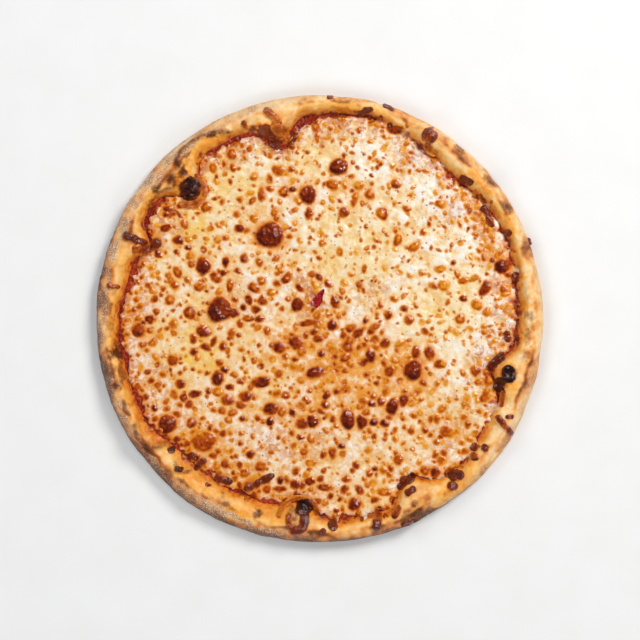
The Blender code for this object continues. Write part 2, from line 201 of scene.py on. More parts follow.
def blobs_at(points, blobs, soft=0.5, warp=0.18, seed=3):
    """The strongest of soft oval blobs at each point. A blob is (pixel x, pixel y, its two radii in pixels,
    its turn in degrees, strength)."""
    ragged = warp * noise_at(points, 3.5, seed)
    best = np.zeros(len(points))
    for px, py, long, wide, degrees, strength in blobs:
        x, y = from_photo(px, py)
        along, across = along_and_across(points[:, 0] - x, points[:, 1] - y, math.radians(degrees))
        off = np.hypot(along / (long * MM_PER_PIXEL), across / (wide * MM_PER_PIXEL))
        best = np.maximum(best, strength * steps(off + ragged, 1 + soft / 2, 1 - soft / 2))
    return best


def near_line(points, pixels):
    """How far each point lies from a line through these pixels, in mm."""
    knots = np.array([from_photo(*pixel) for pixel in pixels])
    nearest = np.full(len(points), 1e3)
    for start, end in zip(knots[:-1], knots[1:]):
        along = np.clip((points[:, :2] - start) @ (end - start) / ((end - start) @ (end - start)), 0, 1)
        nearest = np.minimum(nearest, np.hypot(*(points[:, :2] - start - along[:, None] * (end - start)).T))
    return nearest


def colour(code):
    """A screen colour such as D98B3A as the linear colour that a shader takes."""
    values = [int(code[i : i + 2], 16) / 255 for i in (0, 2, 4)]
    return (*(v / 12.92 if v <= 0.04045 else ((v + 0.055) / 1.055) ** 2.4 for v in values), 1)


def plug(tree, node, inputs):
    """Sets a node's inputs, each to a value, a colour code, a node, or one of its outputs."""
    for socket, value in inputs.items():
        if isinstance(value, bpy.types.Node):
            value = next(output for output in value.outputs if output.enabled)
        if isinstance(value, bpy.types.NodeSocket):
            tree.links.new(value, node.inputs[socket])
        else:
            node.inputs[socket].default_value = colour(value) if isinstance(value, str) else value


def add(tree, kind, inputs=(), stops=(), **settings):
    """Adds a node to a material. Stops are the colours along a ramp, as (place, colour code) pairs."""
    node = tree.nodes.new("ShaderNode" + kind)
    for name, value in settings.items():
        setattr(node, name, value)
    while stops and len(node.color_ramp.elements) < len(stops):
        node.color_ramp.elements.new(1.0)
    for i, (place, code) in enumerate(stops):
        node.color_ramp.elements[i].position = place
        node.color_ramp.elements[i].color = colour(code)
    plug(tree, node, dict(inputs))
    return node


def new_material(name):
    """A new material, its nodes, its shader, and the place on the object that its patterns are fixed to."""
    made = bpy.data.materials.new(name)
    made.use_nodes = True
    tree = made.node_tree
    return made, tree, tree.nodes["Principled BSDF"], add(tree, "TexCoord").outputs["Object"]


crust_points = node_points("crust")
crust_radii = polar(crust_points)[1]
at_foot = (np.abs(crust_points[:, 2] - BASE_THICKNESS) < 0.05) & (crust_radii > WELL_RADIUS)
# The rim is a little fuller than the solid at the lower left, and a little wider inwards at the right
OUTLINE = largest_round(crust_points, crust_radii) - OUTLINE_INSET
OUTLINE += ring_of([(165, 0), (190, 0.7), (205, 0.7), (215, 1.0), (240, 1.0), (252, 0.7), (280, 0)], 8)
FOOT = largest_round(crust_points[at_foot], crust_radii[at_foot])
FOOT -= ring_of([
    (0, 0.8), (18, 1.2), (40, 1.8), (58, 1.5), (68, 0.5), (80, 0), (290, 0), (299, 2.0), (308, 4.6), (315, 2.4),
    (324, 5.2), (333, 2.8), (342, 0.6), (350, 0.4)], 6)  # fmt: skip
CROWN_HEIGHT = largest_round(crust_points, crust_points[:, 2], soften=4.0) - CROWN_INSET
# Hollows where a bubble of dough fell in: pixel x and y, radius and depth in mm
DOUGH_HOLLOWS = [
    (190.5, 190.5, 9.0, 3.2), (300, 512, 11.0, 2.0), (508, 374, 6.0, 2.4), (500, 385, 4.6, 1.8),
    (372, 496, 7.5, 1.2), (280, 137, 9.0, 2.2), (158, 246, 6.5, 1.8), (119, 352, 5.5, 1.2), (213, 135, 7.0, 1.0),
    (459, 152, 8.5, 1.0), (489, 180, 8.0, 1.2), (145, 417, 5.6, 3.0), (149, 429, 6.4, 3.8), (158, 437, 5.6, 3.2),
    (184, 462, 5.6, 2.6), (208, 496, 10.0, 1.2), (140, 238, 6.0, 0.9), (108, 300, 9.0, 0.9), (240, 120, 8.0, 0.8),
    (340, 108, 10.0, 0.8), (528, 330, 9.0, 0.8), (505, 410, 9.0, 0.9), (450, 478, 9.0, 1.0), (385, 515, 9.0, 0.9),
    (130, 400, 8.0, 0.9), (262, 515, 8.0, 0.8),
]  # fmt: skip

# Ridges where one fold of dough lies against the next: width and height in mm, how brown, and pixels along it. That
# brown line is partly browning and partly painted shade where the folds meet.
RIDGES = [
    (1.9, 2.6, 0.5, [(136, 424), (138.5, 434), (144, 441.5), (152, 446), (160, 446.5), (166.5, 443)]),
    (1.3, 1.8, 0.52, [(176, 462), (179.5, 468), (185, 471.5), (191, 470)]),
    (1.9, 1.2, 0.56, [(178, 164), (182, 152), (191, 144), (203, 137.5), (215, 133.5), (229, 132.5)]),
    (1.3, 1.0, 0.5, [(149, 205), (155, 197), (163, 190.5), (172, 188)]),
    (1.0, 0.8, 0.34, [(383, 507), (389, 500), (396, 490), (401, 487)]),
]  # fmt: skip

turns = np.linspace(0, math.tau, CRUST_STEPS, endpoint=False)
outline, foot, crown_height = (at_turn(ring, turns) for ring in (OUTLINE, FOOT, CROWN_HEIGHT))
foot = foot + 0.8 * noise_at(on_circles(60, turns, 0), 4.0, 11)
crown = outline - CROWN_PLACE * (outline - foot)
sections = []  # each is radius, height and how far out it lies: 0 at the foot, 1 at the crown, 2 at the widest
for share in (0.0005, 0.4, 0.75, 0.92, 0.97):
    sections.append((share * foot, BASE_THICKNESS - 0.4 + 0 * foot, 0 * foot))
for t in np.linspace(0, 1, SLOPE_STATIONS):
    height = BASE_THICKNESS + (crown_height - BASE_THICKNESS) * (1 - (1 - t) ** 2.6)
    sections.append((foot + (crown - foot) * t, height, t + 0 * foot))
for t in np.linspace(0, 1, OUTSIDE_STATIONS + 1)[1:]:
    radius = crown + (outline - crown) * math.sin(t * math.pi / 2)
    height = EDGE_HEIGHT + (crown_height - EDGE_HEIGHT) * math.cos(t * math.pi / 2)
    sections.append((radius, height, 1 + t + 0 * foot))
for t in np.linspace(0, 1, UNDER_STATIONS + 1)[1:]:
    radius = outline - UNDERSIDE_ROUND * (1 - math.cos(t * math.pi / 2))
    sections.append((radius, EDGE_HEIGHT * (1 - math.sin(t * math.pi / 2)) + 0 * foot, 2 + t + 0 * foot))
for share in (0.985, 0.95, 0.9, 0.84, 0.77, 0.7, 0.62, 0.54, 0.46, 0.38, 0.3, 0.22, 0.14, 0.0005):
    sections.append((share * (outline - UNDERSIDE_ROUND), 0 * foot, 3 + 0 * foot))
radii, heights, outness = (np.concatenate([section[i] for section in sections]) for i in range(3))
around = np.tile(turns, len(sections))
points = on_circles(radii, around, heights)
crust_faces = closed_rows(len(sections), CRUST_STEPS)
crust = new_piece("crust_baked", points, crust_faces)
normals = np.empty(points.size)
crust.data.vertices.foreach_get("normal", normals)

from_edge = np.tile(outline, len(sections)) - radii
from_foot = radii - np.tile(foot, len(sections))
loose = steps(points[:, 2], 0.3, 4.0) * steps(outness, -0.01, 0.25)
outer = steps(outness, 1.4, 2.0)
streaks = noise_at(on_circles(25, around, radii + heights), 1.3, 6)
lumps = 0.8 * noise_at(points, 17, 1) + 0.45 * noise_at(points, 7, 2) + 0.2 * noise_at(points, 2.8, 3)
lumps += 0.07 * noise_at(points, 1.3, 4) + 0.12 * streaks * steps(outness, 0.8, 1.3)
hollows, ridges, ridge_browning_and_shade = (np.zeros(len(points)) for _ in range(3))
for px, py, radius, depth in DOUGH_HOLLOWS:
    x, y = from_photo(px, py)
    off = np.hypot(points[:, 0] - x, points[:, 1] - y) / radius + 0.12 * noise_at(points, 5, 5)
    hollows = np.maximum(hollows, depth * (1 - np.clip(off, 0, 1) ** 2) ** 1.2)
for width, height, brown, pixels in RIDGES:
    near = np.exp(-((near_line(points, pixels) / width) ** 2))
    ridges, ridge_browning_and_shade = np.maximum(ridges, height * near), np.maximum(ridge_browning_and_shade, brown * near)
sunk = loose * (lumps * (1 - 0.4 * outer) + hollows - ridges - 0.5 * outer)
points = points - normals.reshape(-1, 3) * sunk[:, None]
points[:, 2] = np.maximum(points[:, 2], 0)
points[:, :2] = np.clip(points[:, :2], cad_box[0][0] / MM, cad_box[1][0] / MM)
crust.data.vertices.foreach_set("co", (points * MM).ravel())
crust.data.update()
crust_shape, crust_tree = points, tree_of(points, crust_faces)

# Burnt places, browner places (the one on the lower outside edge is painted shade), and places wet with oil: (pixel
# x, pixel y, two radii in pixels, turn, strength)
BURNS = [
    (190.5, 190.5, 11, 10, 20, 1.0), (511, 374.5, 5, 7, 0, 0.55), (501, 386, 4, 5, 0, 0.55),
    (119, 352.6, 8, 7, 0, 0.8), (120, 385, 5, 4.5, 0, 0.6), (459, 151.6, 7, 4.5, -40, 0.48),
    (489, 181, 9, 6, -50, 0.52), (508, 208.5, 6, 5.5, 0, 0.5), (524.5, 246.5, 9, 4, -70, 0.46),
    (527.8, 316.5, 5, 5, 0, 0.4), (526.7, 335, 5, 10, 0, 0.35), (523.7, 356, 5, 5, 0, 0.4),
    (408, 523, 8, 4, 15, 0.75), (414, 502.5, 6, 4, 0, 0.55), (213.5, 135, 6.5, 3.5, 15, 0.62),
    (224, 133, 8, 3, 0, 0.4), (179, 163.5, 4, 5, 0, 0.6), (184, 173, 4, 6, -20, 0.75),
    (171.6, 181, 4, 7, -30, 0.65), (160, 189, 5, 3.6, 0, 0.6), (258, 514, 4.5, 5.5, 0, 0.6),
    (293, 513, 7, 8, 0, 0.45), (174, 187, 6, 3, 30, 0.4), (124, 326, 2.4, 7, 0, 0.35), (118, 305, 2.4, 5, 0, 0.3),
    (158, 190, 5, 4, 30, 0.6), (345, 101, 22, 3, -4, 0.25), (372, 515, 3, 4, 0, 0.4), (489, 414, 3, 3, 0, 0.45),
]  # fmt: skip
BROWNINGS_AND_SHADE = [
    (459, 156, 24, 6, -38, 0.6), (446, 148, 7, 9, 20, 0.6), (493, 182, 14, 7, -52, 0.85),
    (505, 208, 7, 10, 30, 0.55), (137, 211, 22, 7, 60, 0.45), (414, 122, 14, 5, -20, 0.4),
    (345, 101, 34, 4, 0, 0.3), (404, 110, 26, 6, -18, 0.4), (524, 246, 7, 12, 15, 0.8), (526, 330, 6, 34, 0, 0.45),
    (109, 296, 9, 36, 0, 0.6), (128, 250, 6, 9, 0, 0.7), (168, 470, 12, 6, -40, 0.6), (172, 186, 12, 18, 40, 0.8),
    (200, 145, 16, 8, 45, 0.6), (170, 176, 12, 8, 55, 0.75), (176, 168, 18, 6, 50, 0.4),
    (152, 202, 12, 5, 55, 0.55), (119, 346, 9, 14, 0, 0.7), (116, 374, 12, 18, 12, 0.85),
    (130, 400, 9, 16, 28, 0.6), (516, 392, 9, 16, -20, 0.55), (413, 514, 15, 8, 25, 0.75),
    (300, 512, 17, 16, 0, 0.4), (150, 450, 14, 4, -35, 0.2), (191, 166, 20, 17, 50, 0.9),
    (154, 212, 9, 15, -30, 0.5), (280, 136, 20, 12, 0, 0.9), (212, 137, 18, 9, 35, 0.5), (288, 122, 9, 8, 40, 0.4),
    # The last entry on the next line, along the lower outside edge, is painted shade
    (470, 470, 18, 8, 45, 0.25), (132, 236, 8, 10, 0, 0.4), (236, 523, 34, 6, -22, 0.4),
]  # fmt: skip
GLAZED = [
    (205, 150, 20, 9, 35, 0.55), (266, 134, 8, 9, 25, 1.3), (272, 141, 9, 6, -20, 1.3), (252, 131, 8, 4, 20, 0.8),
    (183, 182, 9, 18, -20, 0.6), (150, 214, 8, 22, -25, 0.55), (226, 140, 16, 7, 15, 0.5),
    (480, 184, 18, 6, -52, 0.55), (508, 226, 6, 20, 15, 0.5), (150, 428, 7, 16, 40, 0.6),
    (196, 478, 26, 7, -35, 0.5), (262, 512, 40, 8, -8, 0.5), (455, 484, 26, 8, 40, 0.5), (385, 514, 24, 8, 10, 0.2),
    (503, 378, 12, 15, 0, 0.62), (372, 112, 18, 5, -12, 0.4), (125, 262, 6, 26, 0, 0.25), (340, 108, 30, 5, 0, 0.4),
]  # fmt: skip
# How far in from the outline the flour lies, in mm, and how much of it is left, by degrees from +X
FLOUR_WIDTH = ring_of([
    (0, 4), (30, 5), (60, 6), (85, 3), (95, 5), (110, 8), (135, 8.5), (150, 9), (165, 7.5), (180, 6.5), (210, 6),
    (225, 8), (240, 9), (258, 7), (275, 5), (300, 5), (318, 7), (335, 7), (350, 5)], 8)  # fmt: skip
FLOUR_LEFT = ring_of([
    (0, 0.3), (40, 0.35), (70, 0.2), (95, 0.35), (120, 0.7), (150, 1.0), (185, 0.95), (215, 0.75), (235, 1.0),
    (262, 0.7), (285, 0.35), (320, 0.45), (345, 0.4)], 12)  # fmt: skip
flour_edge = at_turn(FLOUR_WIDTH, around) * (1 + 0.3 * noise_at(points, 9, 20))
flour = at_turn(FLOUR_LEFT, around) * steps(from_edge, flour_edge + 1.0, flour_edge - 1.6) * steps(outness, 2.9, 2.3)
beside_flour = np.exp(-(((from_edge - flour_edge - 1.2) / 1.7) ** 2)) * steps(outness, 0.1, 0.4)
# Painted shade: the dough is coloured darker towards the lower left, away from the light, most on the rim's outside
shaded = steps(0.7 * points[:, 0] + points[:, 1], 40, -130)
toast_shade_and_light = 0.06 + 0.12 * shaded + 0.15 * noise_at(points, 12, 21) + 0.14 * noise_at(points, 4, 22)
beside_flour *= steps(noise_at(points, 14, 25), -0.5, 0.4)
toast_shade_and_light += 0.42 * blobs_at(points, BROWNINGS_AND_SHADE, 1.3, 0.3) + 0.30 * beside_flour
# Painted shade on the rim's outside at the lower left, strongest at the outline, with a little more all over there
toast_shade_and_light += (0.02 + 0.34 * shaded) * steps(outness, 1.1, 1.7) + 1.1 * shaded * steps(outness, 1.6, 2.1)
toast_shade_and_light += 0.08 * shaded + 0.1 * streaks * steps(outness, 0.9, 1.4)
# Painted light: the inner slope is coloured lighter, and soft cream patches away from the outside stand in for
# highlights
toast_shade_and_light -= 0.08 * steps(outness, 1.1, 0.7) + 0.16 * steps(noise_at(points, 11, 26), 0.1, 0.6) * (1 - outer)
under = steps(outness, 2.2, 2.8)
toast_shade_and_light = toast_shade_and_light * (1 - under) + (0.42 + 0.4 * noise_at(points, 13, 27)) * under
oil_width = 8.0 + 1.5 * shaded
strayed = from_foot + 1.5 * noise_at(points, 5.0, 24) + 0.8 * noise_at(points, 2.2, 28)
oil = 0.7 * steps(strayed, oil_width, 1.0) + 0.3 * steps(strayed, 1.2, -0.8)
oil = np.maximum(oil, blobs_at(points, GLAZED, 1.2, 0.3))
# The creases between folds, partly browning and partly painted shade, are coloured with the burns
burns_and_crease_shade = np.maximum(blobs_at(points, BURNS, 1.3, 0.4), ridge_browning_and_shade)
# Less flour shows on the lower left outside, which keeps its painted shade dark
flour *= (0.75 + 0.5 * streaks) * (1 - 0.65 * shaded * steps(outness, 1.5, 2.0))
paint(crust, "bake_shade_and_light", toast_shade_and_light, burns_and_crease_shade, flour, oil)

# Baked bread crust: matt, cream through gold to brown as it toasts, black and crisp on the burnt bubbles, orange and
# shiny where oil from the cheese soaked in at the foot, and dusty grey-pink with fine brown specks under the flour.
# Its colours also carry painted shade at the lower left and in the creases, and painted light on the inner slope.
dough, tree, shader, place = new_material("baked_bread_crust")
bake_shade_and_light = add(tree, "Attribute", attribute_name="bake_shade_and_light")
fields = add(tree, "SeparateColor", {0: bake_shade_and_light.outputs["Color"]}).outputs
grain = add(tree, "TexNoise", {"Vector": place, "Scale": 1 / (0.75 * MM), "Detail": 2.0})
mottle = add(tree, "TexNoise", {"Vector": place, "Scale": 1 / (2.6 * MM), "Detail": 3.0})
# How far the dough is toasted, with the painted shade and painted light added to it
level = add(tree, "Math", {0: mottle, 1: 0.46, 2: fields["Red"]}, operation="MULTIPLY_ADD")
level = add(tree, "Math", {0: grain, 1: 0.14, 2: level}, operation="MULTIPLY_ADD")
base = add(tree, "ValToRGB", {0: level}, [
    (0.22, "FFE0B2"), (0.38, "FCC680"), (0.54, "F2A250"), (0.68, "D27A30"),
    (0.82, "9E5420"), (1.0, "5A2A14")])  # fmt: skip
# Orange where oil soaked in, less so on dark crust
wetness = add(tree, "Math", {0: mottle, 1: 0.36, 2: bake_shade_and_light.outputs["Alpha"]}, operation="MULTIPLY_ADD")
oiled = add(tree, "ValToRGB", {0: wetness}, [
    (0.25, "FFDC98"), (0.5, "FFBC58"), (0.78, "F6962C"), (0.9, "D66818"), (1.0, "7C1A0C")])  # fmt: skip
bare = add(tree, "MapRange", {0: level, 1: 0.6, 2: 0.85, 3: 0.9, 4: 0.25})
soaked = add(tree, "MapRange", {0: wetness, 1: 0.15, 2: 0.5})
soaked = add(tree, "Math", {0: soaked, 1: bare}, operation="MULTIPLY")
base = add(tree, "Mix", {0: soaked, 6: base, 7: oiled}, data_type="RGBA")
# Flour, less of it on dark crust
dusty = add(tree, "Math", {0: grain, 1: 0.6, 2: fields["Blue"]}, operation="MULTIPLY_ADD")
dusty = add(tree, "MapRange", {0: dusty, 1: 0.42, 2: 1.1, 4: 0.85})
clean = add(tree, "MapRange", {0: level, 1: 0.7, 2: 1.0, 3: 1.0, 4: 0.5})
dusty = add(tree, "Math", {0: dusty, 1: clean}, operation="MULTIPLY")
flour_colour = add(tree, "ValToRGB", {0: grain}, [(0.36, "704832"), (0.5, "C0906A"), (0.64, "F0DCC8")])
base = add(tree, "Mix", {0: dusty, 6: base, 7: flour_colour}, data_type="RGBA")
# Burnt places, from brown to black, which also colour the creases between folds with browning and painted shade
char = add(tree, "Math", {0: mottle, 1: 0.6, 2: fields["Green"]}, operation="MULTIPLY_ADD")
char = add(tree, "Math", {0: grain, 1: 0.3, 2: char}, operation="MULTIPLY_ADD")
char_share = add(tree, "MapRange", {0: char, 1: 0.56, 2: 1.1, 4: 0.95})
char_colour = add(tree, "ValToRGB", {0: char}, [(0.65, "B05A1C"), (0.85, "80360C"), (1.0, "56200A")])
char_black = add(tree, "MapRange", {0: char, 1: 1.26, 2: 1.6})
char_colour = add(tree, "Mix", {0: char_black, 6: char_colour, 7: "140B0A"}, data_type="RGBA")
base = add(tree, "Mix", {0: char_share, 6: base, 7: char_colour}, data_type="RGBA")
roughness = add(tree, "MapRange", {0: bake_shade_and_light.outputs["Alpha"], 1: 0.05, 2: 0.5, 3: 0.6, 4: 0.26})
relief = add(tree, "Math", {0: grain, 1: 0.35, 2: mottle}, operation="MULTIPLY_ADD")
bump = add(tree, "Bump", {"Height": relief, "Distance": 0.5 * MM})
plug(tree, shader, {"Base Color": base, "Roughness": roughness, "Normal": bump, "Specular IOR Level": 0.35})
crust.data.materials.append(dough)
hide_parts("crust")
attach(crust, "root")

# SAUCE
# A wet layer of crushed tomato, ladled into the well and baked. It shows as a ring inside the rim, where it climbs
# the dough a little and has dried dark, and in the tear near the middle.
SAUCE_TOP = 5.0
SAUCE_PAST_FOOT = 1.6  # how far it reaches into the rim
SAUCE_STEPS = 900
TEAR_X, TEAR_Y = -1.3, 13.0  # the middle of the tear in the cheese
TEAR_LONG, TEAR_WIDE, TEAR_TURN = 13.5, 6.0, math.radians(62)
turns = np.linspace(0, math.tau, SAUCE_STEPS, endpoint=False)
shares = np.concatenate([np.linspace(0.02, 0.75, 22), np.linspace(0.76, 1.0, 38)])
radii = (shares[:, None] * (at_turn(FOOT, turns) + SAUCE_PAST_FOOT)).ravel()
around = np.tile(turns, len(shares))
points = on_circles(radii, around, SAUCE_TOP)
from_tear = np.hypot(points[:, 0] - TEAR_X, points[:, 1] - TEAR_Y)
from_rim = at_turn(FOOT, around) - radii
points[:, 2] += 0.3 * noise_at(points, 5.5, 31) + 0.25 * noise_at(points, 2.0, 32)
points[:, 2] += steps(from_tear, 9.0, 5.0) * (1.3 + 1.1 * noise_at(points, 3.0, 35))
points[:, 2] += 0.4 * steps(from_rim, 6.0, 0.0) * (0.6 + 0.4 * noise_at(points, 8, 33))
sauce_faces = closed_rows(len(shares), SAUCE_STEPS)
sauce = new_piece("tomato_sauce_layer", points, sauce_faces)
sauce_tree = tree_of(points, sauce_faces)
dried_share = steps(from_rim + 2.0 * noise_at(points, 3.0, 36), 3.5, -2.0)
paint(sauce, "wet", 0.5 + 0.5 * noise_at(points, 9, 34), dried_share, steps(from_tear, 14, 10))

# Baked tomato sauce: deep red and glossy, with paler orange pulp, and brown-red where it dried against the rim.
tomato, tree, shader, place = new_material("baked_tomato_sauce")
wet = add(tree, "Attribute", attribute_name="wet")
fields = add(tree, "SeparateColor", {0: wet.outputs["Color"]}).outputs
pulp = add(tree, "TexNoise", {"Vector": place, "Scale": 1 / (1.8 * MM), "Detail": 3.0})
fleck = add(tree, "TexNoise", {"Vector": place, "Scale": 1 / (0.7 * MM), "Detail": 2.0})
# Pulp, with paler flecks
level = add(tree, "Math", {0: fields["Red"], 1: 0.4, 2: pulp}, operation="MULTIPLY_ADD")
base = add(tree, "ValToRGB", {0: level}, [(0.4, "5E1008"), (0.6, "84200E"), (0.78, "A8381A"), (1.0, "C86030")])
share = add(tree, "MapRange", {0: fleck, 1: 0.56, 2: 0.74, 4: 0.3})
base = add(tree, "Mix", {0: share, 6: base, 7: "C4602C"}, data_type="RGBA")
# Dried against the rim, and fresh red in the tear
dried = add(tree, "ValToRGB", {0: pulp}, [(0.35, "5E1012"), (0.5, "942418"), (0.65, "C44E2A")])
share = add(tree, "Math", {0: fields["Green"], 1: 0.8}, operation="MULTIPLY")
base = add(tree, "Mix", {0: share, 6: base, 7: dried}, data_type="RGBA")
fresh = add(tree, "ValToRGB", {0: pulp}, [(0.3, "6E0A10"), (0.5, "A8161E"), (0.7, "CC4038")])
base = add(tree, "Mix", {0: fields["Blue"], 6: base, 7: fresh}, data_type="RGBA")
bump = add(tree, "Bump", {"Height": pulp, "Distance": 0.5 * MM})
plug(tree, shader, {"Base Color": base, "Roughness": 0.18, "Normal": bump, "Specular IOR Level": 0.6})
sauce.data.materials.append(tomato)
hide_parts("sauce")
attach(sauce, "root")

# CHEESE
# One sheet of shredded mozzarella, laid on the sauce, that melted together, bubbled and browned. Each bubble is a low
# dome, or a pit where it burst, with its own rings of points in the mesh.

